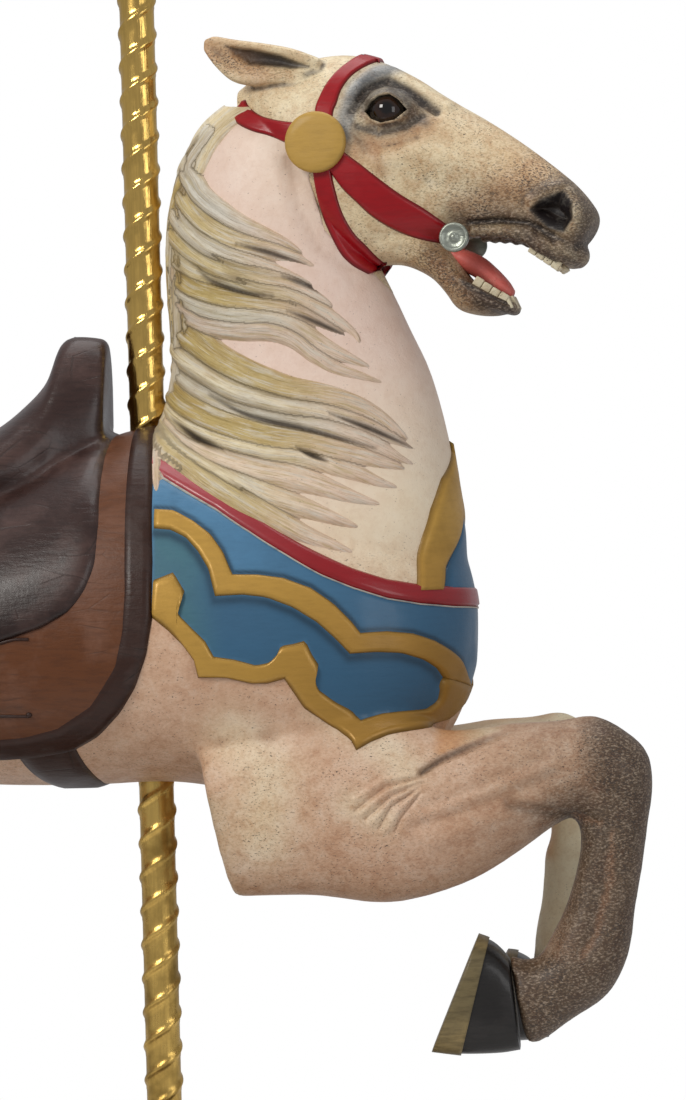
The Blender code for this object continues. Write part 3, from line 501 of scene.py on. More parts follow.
def shape_trunk(mesh):
    """Presses the muscle lines, folds and cords into the trunk and legs."""
    spots = points_of(mesh)
    normal = normals_of(mesh)
    flat = spots[:, [0, 2]]
    strokes = [(line, 0.26, -0.30) for line in WRINKLES] + [(line, 0.34, 0.20) for line in FOLDS]
    strokes += [
        ([(16.0, 70.0), (19.5, 62.0), (20.5, 55.0)], 1.8, -0.3),
        ([(19.4, 142.0), (20.4, 136.0), (23.2, 130.6), (26.8, 128.0)], 0.8, -0.16),
        ([(17.8, 142.0), (18.8, 135.8), (21.9, 129.6), (26.0, 126.4)], 0.9, 0.16),
        ([(8.4, 143.2), (11.6, 147.0), (15.0, 148.4)], 0.5, -0.25),
        ([(34.0, 59.1), (42.1, 61.6), (50.9, 64.7)], 0.9, -0.40),
        ([(35.5, 61.5), (42.5, 64.0), (50.0, 67.2)], 0.8, -0.28),
        ([(34.6, 60.4), (42.3, 62.9), (50.4, 66.0)], 0.9, 0.22),
        ([(36.0, 57.2), (42.6, 59.6), (49.0, 61.6)], 1.2, 0.25),
        ([(45.5, 61.6), (50.1, 60.4), (56.1, 58.6)], 0.7, -0.55),
        ([(57.6, 57.5), (57.2, 51.5), (55.4, 45.2), (53.9, 43.0)], 0.8, -0.6),
        ([(60.0, 57.0), (59.2, 50.0), (57.8, 44.5)], 1.3, 0.25),
        ([(54.4, 53.0), (53.4, 47.0), (51.2, 43.6)], 1.0, 0.25),
        ([(58.0, 69.0), (60.5, 64.5)], 2.2, 0.35),
        ([(56.0, 63.0), (58.5, 61.0)], 1.4, -0.3),
        ([(-38.0, 76.0), (-41.0, 86.0), (-45.0, 96.0)], 2.4, -0.7),
        ([(-58.0, 93.0), (-60.0, 84.0), (-57.0, 74.0), (-57.0, 65.0)], 2.0, -0.6),
        ([(-52.5, 58.0), (-58.0, 56.5), (-66.0, 52.5)], 1.1, -0.4),
        ([(-66.0, 48.5), (-70.5, 43.5), (-75.5, 37.5)], 0.9, -0.5),
        ([(-33.0, 73.0), (-36.0, 68.5)], 1.8, -0.5),
    ]
    lift = cuts(flat, strokes) * np.clip(np.abs(normal[:, 1]) * 1.3, 0, 1)
    cleft = near(flat, ARM_LINE, 0.45) * step(48.0 - spots[:, 0], 0.0, 9.0)
    lift -= 0.8 * cleft * (np.abs(spots[:, 1]) > 5) * (np.abs(normal[:, 1]) > 0.2)
    set_points(mesh, spots + normal * lift[:, None])


def paint_trunk(mesh):
    """Ground colours over the trunk, with painted shade in its grooves, the knee's crook and the arm's cleft;
    the fourth value is how thickly it is flecked.
    """
    spots = points_of(mesh)
    x, y, z = spots.T
    flat = spots[:, [0, 2]]
    colours = all_over(PEACH, len(spots))
    colours = mix(colours, PINK, step(z, 88, 100) * step(x, -5, 5))
    colours = mix(colours, CREAM, 0.55 * step(z, 126, 146) * step(x, 5, 30))
    colours = mix(colours, CREAM, 0.65 * step(122 - z, 0, 22) * step(x, 12, 34) * step(z, 84, 90))
    colours = coated(colours, flat, [
        (RUST, 0.42, [(8, 76), (14, 74.5), (22, 72)], 3.2),
        (RUST, 0.30, [(24, 54), (34, 54), (42, 58)], 4.5),
        (CREAM, 0.75, [(12, 70), (16, 66), (15, 58)], 4.0),
        (CREAM, 0.60, [(23, 74), (30, 69), (33, 66)], 2.6),
        (CREAM, 0.55, [(26, 62), (30, 60)], 2.0),
        (CREAM, 0.40, [(34, 98), (30, 94), (22, 97)], 4.0),
    ])
    arm = step(x, 33, 54) * step(75 - z, 0, 2)
    leg = np.maximum(step(x, 42, 55) * step(70.0 - z, 0.0, 10.0), step(47 - z, 0, 6) * step(x, 30, 40))
    leg = np.maximum(leg, step(x, 49, 58) * step(73 - z, 0, 2))
    hind = step(-x, 58, 70) * step(62 - z, 0, 12)
    dark = np.maximum(np.maximum(leg, hind), 0.45 * arm)
    colours = mix(colours, LEG_BROWN, dark)
    # Painted shade: a darker leg brown in the crook of the near knee, where the carving is cut deep.
    crook_shade = near(flat, [(45.5, 61.4), (50.5, 60.2), (56.0, 58.4)], 0.8) * (y < 0)
    colours = mix(colours, LEG_BROWN * 0.55, 0.6 * crook_shade)
    far_leg = step(y, 2, 5) * step(x, 30, 40) * step(74 - z, 0, 2)
    colours = mix(colours, FAR_CREAM, far_leg * 0.95)
    colours = mix(colours, STAIN, 0.7 * far_leg * near(flat, [(36, 70.5), (44, 71.0), (50, 71.6)], 1.2))
    colours = mix(colours, STAIN, 0.6 * far_leg * near(flat, [(50.2, 58.0), (49.6, 53.0)], 0.8))
    colours = mix(colours, KHAKI, step(64.8 - z, 0.0, 3.0) * step(14 - x, 0, 8) * step(x, -40, -34) * 0.8)
    # Painted shade: the skin is darkened in the carved grooves.
    groove_shade = step(hollows(mesh, 6), 0.02, 0.12)
    colours = mix(colours, SKIN_SHADE, 0.55 * groove_shade)
    # Painted shade: a near-black brown painted into the cleft where the near arm lifts off the chest.
    cleft = near(flat, ARM_LINE, 0.42) * step(48.0 - x, 0.0, 9.0) * (y < -5)
    above = step(z - np.interp(x, *np.transpose(ARM_LINE)), 0.3, 0.8)
    above = above * step(x, 35.5, 37.5) * step(47.0 - x, 0, 6) * step(73 - z, 0, 1)
    stained = mix(all_over(STAIN, len(x)), FAR_CREAM, step(x, 38, 43))
    colours = mix(colours, stained, 0.7 * above * (y < -5))
    colours = mix(colours, CLEFT_SHADE, 0.75 * cleft)
    fleck = np.maximum(0.22 + 0.15 * step(74 - z, 0, 10), 0.95 * dark)
    fleck = np.where(z > 92, 0.14 * step(96 - z, 0, 4), fleck)
    fleck = np.where(far_leg > 0.5, 0.12, fleck)
    paint_mesh(mesh, colours, fleck)


def prism(outline, low, high):
    """A block with a side-view outline, from y low to y high."""
    rings = [[(x, y, z) for x, z in outline] for y in (low, high)]
    return outward(grid_mesh(rings))


def boolean(mesh, cutter, operation):
    """One mesh cut by, or kept within, another."""
    made, tool = add("worked", mesh), add("tool", cutter)
    mod = made.modifiers.new("cut", "BOOLEAN")
    mod.operation = operation
    mod.solver = "MANIFOLD"
    mod.object = tool
    out = applied(made)
    bpy.data.objects.remove(tool, do_unlink=True)
    return out


def tree_over(mesh, spots):
    """What rays are cast at: the mesh's faces, with its corners at the given places."""
    return BVHTree.FromPolygons(spots.tolist(), [p.vertices[:] for p in mesh.polygons])


skin = tree_over(whole, points_of(whole))
trunk = boolean(whole, prism(HEAD_LINE, -HALF_BLOCK, HALF_BLOCK), "DIFFERENCE")
# The near arm's folds need finer faces than the rest
finer(trunk, (26.0, -30.0, 56.0), (53.0, -8.0, 70.0))
finer(trunk, (23.5, -30.0, 55.5), (35.0, -5.0, 65.5))
shape_trunk(trunk)
paint_trunk(trunk)

# Head. It is carved finer than the body, with deep eye sockets under a heavy brow, flared nostrils
# and an open mouth. Cream-yellow ground, blue-grey behind the eye, and black-brown stippling that
# closes up over the muzzle and along the jaw. Shade is painted dark into the brow crease, round the
# eye, in the nostrils, the ears' hollows and the lip creases, and in the other carved hollows.

HEAD_CREAM, HEAD_WARM, HEAD_TAN, HEAD_BLUE = tone("E6D6B2"), tone("E0C49A"), tone("B98352"), tone("8E9499")
HEAD_DARK, MUZZLE, NOSE_RED, LIP_DARK = tone("352B23"), tone("5C4A38"), tone("3E1712"), tone("4A3A30")
HEAD_GREY = tone("6A6258")
SOCKET_FLOOR, SOCKET_RIM = 6.2, 14.0
# The nostril and the hollow of the ear, in the straight-drawn head
NOSTRIL = [(50.3, 134.4), (51.7, 135.6), (54.3, 136.6), (55.3, 135.2), (55.4, 133.1), (54.2, 131.6),
           (52.3, 132.3)]
EAR_HOLLOW = [(12.8, 156.5), (16.2, 156.0), (19.6, 155.1), (23.0, 153.6), (21.0, 153.4), (18.4, 153.7),
              (15.6, 154.0),
              (13.6, 155.2)]


def shape_head(mesh):
    """Presses the brow, cheek, lips, nostrils and ears' hollows into the head."""
    spots = points_of(mesh)
    inner = straight(spots)
    normal = normals_of(mesh)
    flat = inner[:, [0, 2]]
    strokes = [
        ([(28.4, 149.6), (30.4, 152.2), (33.0, 152.9), (36.0, 151.4), (40.0, 148.2)], 0.8, 0.55),
        ([(28.9, 147.6), (30.7, 150.6), (32.8, 151.3), (35.3, 149.9), (39.0, 147.2)], 0.5, -0.75),
        ([(29.6, 145.4), (32.2, 144.4), (35.6, 145.2), (37.4, 146.6)], 0.6, -0.35),
        ([(30.0, 143.6), (33.0, 142.9), (36.6, 143.8)], 0.9, -0.2),
        ([(32.5, 141.0), (37.0, 141.8), (42.0, 140.5), (48.0, 137.0)], 1.4, 0.35),
        ([(38.0, 138.4), (43.0, 136.8), (49.0, 135.4)], 1.3, -0.3),
        ([(42.6, 133.3), (46.5, 133.4), (50.0, 133.0), (52.8, 131.3)], 0.35, -0.3),
        ([(43.0, 134.0), (47.0, 134.2), (50.4, 133.0)], 0.6, 0.25),
        ([(50.4, 135.5), (52.0, 136.9), (54.6, 137.6), (56.1, 135.8), (56.2, 133.4)], 0.7, 0.35),
        ([(51.0, 131.6), (53.0, 130.6)], 0.7, -0.3),
        ([(34.0, 130.4), (38.0, 128.6), (40.6, 126.0)], 0.9, -0.3),
        ([(42.0, 125.6), (44.5, 124.1), (46.8, 123.1)], 0.35, -0.3),
        ([(56.8, 131.0), (55.8, 129.4)], 0.6, -0.3),
    ]
    lift = cuts(flat, strokes) * np.clip(np.abs(normal[:, 1]) * 1.4, 0, 1)
    lift -= 2.6 * step(inside(flat, NOSTRIL), -0.25, 0.75)
    lift -= 1.0 * step(inside(flat, EAR_HOLLOW), -0.3, 0.8) * (np.abs(normal[:, 1]) > 0.2)
    wrinkled = near(flat, [(42.6, 131.2), (49.8, 131.0), (54.4, 128.6)], 1.2) * (inner[:, 1] != 0)
    lift += 0.10 * np.sin(inner[:, 0] * 5.1 + inner[:, 2] * 3.7) * wrinkled
    set_points(mesh, spots + normal * lift[:, None])


def paint_head(mesh):
    """Coats brushed over the head one after another, the darkest ones last. The dark coats round the eye,
    along the brow crease and in the lip creases, and the darkening of the nostrils, the ears' hollows and the
    carved hollows, are painted shade.
    """
    inner = straight(points_of(mesh))
    flat = inner[:, [0, 2]]
    x, y, z = inner.T
    colours = all_over(HEAD_CREAM, len(inner))
    brow = [(28.6, 147.2), (30.4, 150.5), (32.7, 151.4), (35.2, 150.1), (38.8, 147.3)]
    colours = coated(colours, flat, [
        (HEAD_WARM, 0.55, [(38, 146), (46, 142), (52, 138)], 3.2),
        (HEAD_TAN, 0.55, [(29.5, 142.5), (33.5, 143.4), (37.5, 145.2)], 1.9),
        (HEAD_TAN, 0.40, [(47, 137), (51, 139)], 2.6),
        (HEAD_TAN, 0.60, [(9.8, 157.0), (13, 155.5), (17, 152.6)], 2.0),
        (HEAD_BLUE, 0.90, [(28.0, 144.4), (27.8, 147.0), (28.9, 150.4), (31.4, 153.0), (33.6, 153.4)], 1.1),
        # Painted shade: a darker copy of the blue-grey at the back of the socket.
        (HEAD_BLUE * 0.62, 0.85, [(28.6, 146.0), (28.9, 148.4), (30.2, 151.2), (32.6, 152.6)], 0.75),
        # Painted shade: grey under the brow above the eye and in the hollow below it, and dark round the top
        # of the eye's opening.
        (HEAD_GREY * 0.7, 0.95, [(30.0, 148.4), (31.2, 150.2), (33.0, 150.8), (35.0, 149.8), (37.0, 148.2)],
         0.9),
        (HEAD_GREY, 0.70, [(30.0, 145.2), (32.2, 144.6), (35.4, 145.2), (37.4, 146.6)], 0.9),
        (HEAD_DARK, 0.85, [(30.2, 147.4), (31.6, 149.3), (33.5, 149.9), (35.3, 148.6), (36.2, 147.2)], 0.6),
        (HEAD_TAN * 0.45, 0.7, [(30.2, 146.9), (31.9, 145.3), (34.5, 145.4), (36.2, 146.9)], 0.5),
        (HEAD_CREAM * 0.75, 0.6, [(31.4, 145.2), (33.4, 144.9), (35.4, 145.9)], 0.2),
        # Painted shade: dark coats along the brow crease.
        (HEAD_DARK * 0.7, 0.90, brow, 0.55),
        (HEAD_DARK * 0.4, 0.92, [(29.6, 149.3), (31.2, 151.0), (33.0, 151.5), (35.2, 150.1), (37.4, 148.4)],
         0.32),
        # Painted shade at the front corner of the eye.
        (HEAD_DARK, 0.60, [(35.8, 146.8), (37.8, 145.6)], 0.6),
        (HEAD_TAN * 0.8, 0.50, [(31.0, 143.4), (31.8, 141.4), (32.6, 139.6)], 0.8),
        # Painted shade at the back corner, below the eye.
        (HEAD_DARK, 0.40, [(29.0, 144.6), (30.4, 142.6)], 0.8),
        (MUZZLE, 0.85, [(41.5, 133.4), (46.5, 134.0), (50.5, 132.8)], 2.1),
        (HEAD_TAN * 0.7, 0.45, [(42.0, 135.6), (47.0, 137.0), (50.0, 136.0)], 1.8),
        (MUZZLE, 0.85, [(50.0, 132.0), (53.5, 130.4), (56.0, 130.0)], 1.7),
        (MUZZLE, 0.80, [(51.0, 136.6), (54.6, 137.9), (57.2, 134.6), (56.9, 130.6)], 1.3),
        (HEAD_TAN * 0.5, 0.75, [(38.2, 129.0), (41.6, 124.4), (46.0, 122.2)], 2.2),
        (HEAD_DARK * 0.6, 0.85, [(43.2, 123.4), (46.8, 122.0)], 1.1),
        # Painted shade: dark in the crease above the upper lip and under the upper lip's edge.
        (HEAD_DARK * 0.35, 0.8, [(42.4, 133.2), (46.5, 133.3), (50.0, 132.9), (52.8, 131.2)], 0.38),
        (HEAD_DARK * 0.35, 0.85, [(44.0, 130.6), (47.0, 130.6), (50.0, 129.7), (52.6, 128.0)], 0.55),
        (LIP_DARK, 0.85, [(43.4, 131.3), (46.6, 131.2), (50.0, 130.4), (53.0, 128.4), (55.6, 127.6)], 0.9),
        (LIP_DARK, 0.80, [(41.6, 126.0), (44.4, 123.8), (47.2, 122.2)], 0.8),
        # Painted shade in the crease along the lower lip.
        (HEAD_DARK * 0.4, 0.8, [(42.0, 125.6), (44.5, 124.2), (46.8, 123.2)], 0.32),
    ])
    # Painted shade: the ears' hollows are darkened, most towards the head.
    ear_hollow_shade = step(inside(flat, EAR_HOLLOW), -0.25, 0.5)
    ear_shade_colour = mix(all_over(HEAD_TAN * 0.6, len(x)), HEAD_DARK * 0.5, step(x, 13.5, 18.5))
    colours = mix(colours, ear_shade_colour, ear_hollow_shade)
    colours = mix(colours, MUZZLE * 0.8,
                  0.75 * near(flat, [(57.9, 135.0), (57.9, 132.4), (56.4, 129.4)], 1.5))
    # Painted shade: near black inside the nostrils.
    colours = mix(colours, NOSE_RED * 0.10, step(inside(flat, NOSTRIL), -0.45, 0.05))
    # Painted shade: near black on the walls of the eye's opening, round the glass.
    colours = mix(colours, HEAD_DARK * 0.3, step(inside(flat, EYE_OPENING), 0.0, 0.25) * step(155 - z, 0, 1))
    gape = [(41.0, 131.0), (46.5, 131.0), (52.5, 127.6), (47.4, 124.2), (43.6, 126.6), (41.2, 128.4)]
    mouth = step(5.2 - np.abs(y), 0.0, 1.2) * inside(flat, gape)
    colours = mix(colours, NOSE_RED * 0.6, step(mouth, 0.0, 0.6))
    # Painted shade: the head is darkened in its carved hollows.
    colours = mix(colours, HEAD_DARK, 0.7 * step(hollows(mesh, 8), 0.006, 0.05))
    fleck = 0.42 + 0.45 * step(x, 32, 46) * step(144 - z, 0, 9) + 0.25 * step(x, 44, 53)
    for most, line, reach in ((1.0, [(36, 130), (41, 125), (46, 122.5)], 3.0),
                              (1.0, [(43, 133.5), (50, 133), (56, 130.5)], 3.4),
                              (0.85, [(12, 155), (20, 153)], 2.2), (0.7, [(30, 147), (36, 147)], 3.0)):
        fleck = np.maximum(fleck, most * near(flat, line, reach))
    fleck = fleck * (1 - step(inside(flat, NOSTRIL), -0.4, 0.2)) * (1 - 0.8 * ear_hollow_shade)
    paint_mesh(mesh, colours, fleck)


head = boolean(fine_head, prism(HEAD_LINE, -HALF_BLOCK, HALF_BLOCK), "INTERSECT")
for low, high in ((-SOCKET_RIM, -SOCKET_FLOOR), (SOCKET_FLOOR, SOCKET_RIM)):
    head = boolean(head, turn_mesh(prism(EYE_OPENING, low, high)), "DIFFERENCE")
shape_head(head)
straight_heads = [tree_over(mesh, straight(points_of(mesh))) for mesh in (head, fine_head)]
paint_head(head)


def node(tree, kind, ins=None, **settings):
    """A shader node, with its settings and what goes into it."""
    made = tree.nodes.new(kind)
    for key, value in settings.items():
        setattr(made, key, value)
    for key, value in (ins or {}).items():
        socket = made.inputs[key]
        if isinstance(value, bpy.types.NodeSocket):
            tree.links.new(value, socket)
        else:
            socket.default_value = value
    return made


def blend_colour(tree, share, first, second, how="MIX"):
    """One colour laid over another by a share; each may be a colour or another node's output."""
    made = tree.nodes.new("ShaderNodeMix")
    made.data_type = "RGBA"
    made.blend_type = how
    for place, value in ((0, share), (6, first), (7, second)):
        if isinstance(value, bpy.types.NodeSocket):
            tree.links.new(value, made.inputs[place])
        else:
            made.inputs[place].default_value = (*value, 1.0) if place else value
    return made.outputs[2]


def maths(tree, how, first, second, clamp=False):
    return node(tree, "ShaderNodeMath", {0: first, 1: second}, operation=how, use_clamp=clamp).outputs[0]


def times(tree, first, second, clamp=False):
    return maths(tree, "MULTIPLY", first, second, clamp)


def span(tree, value, low, high, out_low=0.0, out_high=1.0):
    """A value's run from low to high, stretched to another run and held at its ends."""
    ins = {"Value": value, "From Min": low, "From Max": high, "To Min": out_low, "To Max": out_high}
    return node(tree, "ShaderNodeMapRange", ins, clamp=True).outputs[0]


def noise(tree, spot, scale, detail=4.0, rough=0.55, warp=0.0):
    ins = {"Vector": spot, "Scale": scale, "Detail": detail, "Roughness": rough, "Distortion": warp}
    return node(tree, "ShaderNodeTexNoise", ins).outputs[0]


def object_place(tree):
    return node(tree, "ShaderNodeTexCoord").outputs["Object"]


def stretched(tree, spot, scale, turn=(0.0, 0.0, 0.0)):
    """Pattern coordinates stretched and turned, for grain and brush marks."""
    return node(tree, "ShaderNodeMapping", {"Vector": spot, "Scale": scale, "Rotation": turn}).outputs[0]


def shader_group(name, ins, outs):
    tree = bpy.data.node_groups.new(name, "ShaderNodeTree")
    for title, kind, value in ins:
        tree.interface.new_socket(title, in_out="INPUT", socket_type=kind).default_value = value
    for title, kind in outs:
        tree.interface.new_socket(title, in_out="OUTPUT", socket_type=kind)
    return tree, tree.nodes.new("NodeGroupInput").outputs, tree.nodes.new("NodeGroupOutput").inputs


def aged_paint():
    """Old hand-painted oil colour: uneven coats, stains, stippled specks and fine brush grain."""
    tree, given, out = shader_group(
        "aged_paint",
        [("Paint", "NodeSocketColor", (0.8, 0.7, 0.6, 1.0)), ("Flecks", "NodeSocketFloat", 0.3)],
        [("Color", "NodeSocketColor"), ("Roughness", "NodeSocketFloat"), ("Height", "NodeSocketFloat")])
    spot = object_place(tree)
    coat = noise(tree, spot, 8.0, 6.0, 0.62)
    stain = noise(tree, spot, 48.0, 8.0, 0.74, 0.3)
    grain = noise(tree, spot, 260.0, 3.0, 0.6)
    dabs = stretched(tree, spot, (1.0, 1.0, 1.8), (0.0, 0.5, 0.0))
    specks = noise(tree, dabs, 340.0, 2.0, 0.55)
    light = noise(tree, dabs, 250.0, 3.0, 0.6)
    flecks = given["Flecks"]
    worn = maths(tree, "ADD", times(tree, flecks, 1.3), 0.22, clamp=True)
    shade = times(tree, span(tree, coat, 0.40, 0.64, 0.0, 0.75), worn)
    colour = blend_colour(tree, shade, given["Paint"], (0.86, 0.72, 0.56), "MULTIPLY")
    thin = times(tree, span(tree, stain, 0.47, 0.66, 0.0, 0.85), worn)
    colour = blend_colour(tree, thin, colour, (0.66, 0.47, 0.33), "MULTIPLY")
    whole_coat = maths(tree, "SUBTRACT", worn, flecks)
    lit = times(tree, span(tree, stain, 0.47, 0.34, 0.0, 0.45), whole_coat, clamp=True)
    colour = blend_colour(tree, lit, colour, (0.86, 0.80, 0.68))
    patch = span(tree, noise(tree, spot, 19.0, 4.0, 0.6), 0.36, 0.62)
    mottle = times(tree, span(tree, light, 0.54, 0.40), times(tree, flecks, 0.75))
    colour = blend_colour(tree, mottle, colour, (0.42, 0.34, 0.27), "MULTIPLY")
    scratch = times(tree, span(tree, light, 0.52, 0.64), times(tree, flecks, 0.45))
    colour = blend_colour(tree, scratch, colour, (0.50, 0.40, 0.30))
    edge = maths(tree, "SUBTRACT", 0.69, times(tree, flecks, 0.175))
    dots = span(tree, maths(tree, "SUBTRACT", specks, edge), 0.0, 0.05)
    dots = times(tree, dots, maths(tree, "ADD", times(tree, patch, 0.65), 0.2), clamp=True)
    colour = blend_colour(tree, dots, colour, (0.040, 0.026, 0.018))
    tree.links.new(colour, out["Color"])
    tree.links.new(span(tree, grain, 0.3, 0.7, 0.42, 0.66), out["Roughness"])
    height = maths(tree, "ADD", times(tree, stain, 0.8), times(tree, grain, 0.3))
    tree.links.new(maths(tree, "SUBTRACT", height, times(tree, dots, 0.25)), out["Height"])
    return tree


AGED_PAINT = aged_paint()


def aged_shader(tree, shader, coat, coat_rough):
    """Puts the old paint on a shader, and gives its group back for the colour to go into."""
    aged = node(tree, "ShaderNodeGroup", node_tree=AGED_PAINT)
    tree.links.new(aged.outputs["Color"], shader.inputs["Base Color"])
    tree.links.new(aged.outputs["Roughness"], shader.inputs["Roughness"])
    shader.inputs["Coat Weight"].default_value = coat
    shader.inputs["Coat Roughness"].default_value = coat_rough
    return aged


def new_material(name):
    made = bpy.data.materials.new(name)
    made.use_nodes = True
    tree = made.node_tree
    shader = tree.nodes["Principled BSDF"]
    return made, tree, shader


def bumped(tree, shader, height, distance):
    """Fine relief that is too small for the mesh."""
    bump = node(tree, "ShaderNodeBump", {"Height": height, "Distance": distance, "Strength": 1.0})
    tree.links.new(bump.outputs["Normal"], shader.inputs["Normal"])


def painted(name):
    """Paint that takes its ground colour and flecks from the piece's own painted corners."""
    made, tree, shader = new_material(name)
    layer = node(tree, "ShaderNodeAttribute", attribute_name="paint")
    aged = aged_shader(tree, shader, 0.15, 0.35)
    tree.links.new(layer.outputs["Color"], aged.inputs["Paint"])
    tree.links.new(layer.outputs["Alpha"], aged.inputs["Flecks"])
    bumped(tree, shader, aged.outputs["Height"], 0.0012)
    return made


def metric(mesh):
    """From the centimetres that the horse is drawn in to metres."""
    set_points(mesh, points_of(mesh) * CM)
    return mesh


body_paint = painted("body_paint")
for name, mesh in (("carved_trunk", trunk), ("carved_head", head)):
    smooth(mesh)
    made = add(name, metric(mesh))
    mesh.materials.clear()
    mesh.materials.append(body_paint)
    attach(made, "root")
    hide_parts("carved_horse")

# Glass eyes. Blown brown glass with a black pupil, set from outside into the sockets, and the
# carved lids close over them. A wet-looking gloss is part of the glass.

EYE_BROWN, EYE_EDGE, PUPIL = tone("2E1A0E"), tone("0C0705"), tone("0A0706")

glass, tree, shader = new_material("brown_glass")
layer = node(tree, "ShaderNodeAttribute", attribute_name="paint")
streak = span(tree, noise(tree, object_place(tree), 260.0, 4.0), 0.4, 0.7, 0.0, 0.5)
colour = blend_colour(tree, streak, layer.outputs["Color"], (0.30, 0.20, 0.12), "MULTIPLY")
tree.links.new(colour, shader.inputs["Base Color"])
shader.inputs["Roughness"].default_value = 0.06
shader.inputs["Specular IOR Level"].default_value = 0.15
shader.inputs["Coat Weight"].default_value = 0.7
shader.inputs["Coat Roughness"].default_value = 0.02
for side, hand in ((-1, "right"), (1, "left")):
    mesh = ball(0, 0, 0, EYE_RADIUS)
    spots = points_of(mesh)
    look = np.array([0.16, side * 0.98, 0.05])
    angle = np.degrees(np.arccos(np.clip(spots @ look / (EYE_RADIUS * np.linalg.norm(look)), -1, 1)))
    colours = mix(all_over(PUPIL, len(spots)), EYE_BROWN, step(angle, 20, 27))
    colours = mix(colours, EYE_EDGE, step(angle, 34, 50))
    set_points(mesh, turned(spots + np.array([EYE[0], side * EYE[1], EYE[2]])))
    paint_mesh(mesh, colours)
    smooth(mesh)
    made = add("eye_" + hand, metric(mesh))
    mesh.materials.append(glass)
    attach(made, "root")
    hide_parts("glass_eye_" + hand)

# Teeth and tongue. Square wooden teeth are let into both jaws, off-white with brown lines between
# them, and the tongue is a carved slip painted coral.

TOOTH, TONGUE_RED = tone("D8CFB2"), tone("D0645A")
TEETH_ALONG, TEETH_ACROSS = 4, 4


def tooth(centre, across, along, up, size):
    """A rounded square peg: size is its width, thickness and height."""
    work = bmesh.new()
    bmesh.ops.create_cube(work, size=1.0)
    bmesh.ops.bevel(work, geom=work.edges[:], offset=0.14, segments=2, affect="EDGES", profile=0.6)
    mesh = bpy.data.meshes.new("tooth")
    work.to_mesh(mesh)
    work.free()
    spots = points_of(mesh) * np.array(size)
    axes = np.array([across, along, up])
    set_points(mesh, np.array(centre) + spots @ axes)
    return mesh


def tooth_row(side_line, front_x, half, height, lean):
    """Teeth down both sides and round the front. side_line runs from the back to the front."""
    row = []
    line = flow(side_line, 4)
    far = np.concatenate([[0], np.cumsum(np.linalg.norm(np.diff(line, axis=0), axis=1))])
    ahead = line[-1] - line[0]
    ahead = ahead / np.linalg.norm(ahead)
    for i in range(TEETH_ALONG):
        at = (i + 0.5) / TEETH_ALONG * far[-1]
        x, z = (np.interp(at, far, line[:, k]) for k in (0, 1))
        for side in (-1, 1):
            along = np.array([ahead[0], side * -0.12, ahead[1]])
            along /= np.linalg.norm(along)
            out = np.array([0, side, 0.0])
            up = np.cross(along, out)
            up = up if up[2] > 0 else -up
            y = side * (half - 0.5 * (i / TEETH_ALONG))
            size = (far[-1] / TEETH_ALONG * 0.93, 0.8, height)
            row.append(tooth((x, y, z) + up * lean, along, out, up, size))
    for i in range(TEETH_ACROSS):
        y = (i - 1.5) * half * 0.48
        x = front_x - 0.35 * abs(i - 1.5) ** 2 * 0.6
        row.append(tooth((x, y, line[-1][1] + lean), (0.0, 1.0, 0.0), (0.9, 0, 0.4), (-0.4, 0, 0.9),
                         (half * 0.45, 0.8, height)))
    return row


upper_row = tooth_row([(49.4, 129.3), (51.2, 128.0), (53.0, 126.7)], 53.5, 3.2, 1.7, 1.05)
lower_row = tooth_row([(42.8, 126.2), (44.8, 124.7), (46.8, 123.5)], 47.3, 3.1, 1.8, -0.25)
tongue = loft([
    (39.5, 131.1, 38.9, 128.7, 1.9), (43.2, 129.4, 42.2, 126.8, 2.3), (45.1, 127.8, 44.1, 125.4, 2.3),
    (46.6, 126.1, 45.6, 124.2, 1.9), (47.3, 124.9, 46.9, 123.9, 1.0),
], around=24)
for name, mesh, colour, fleck in (("teeth", join(upper_row + lower_row), TOOTH, 0.25),
                                  ("tongue", tongue, TONGUE_RED, 0.05)):
    turn_mesh(mesh)
    corners = len(mesh.vertices)
    paint_mesh(mesh, all_over(colour, corners), np.full(corners, fleck))
    smooth(mesh)
    made = add(name, metric(mesh))
    mesh.materials.append(body_paint)
    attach(made, "root")
    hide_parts("carved_horse")
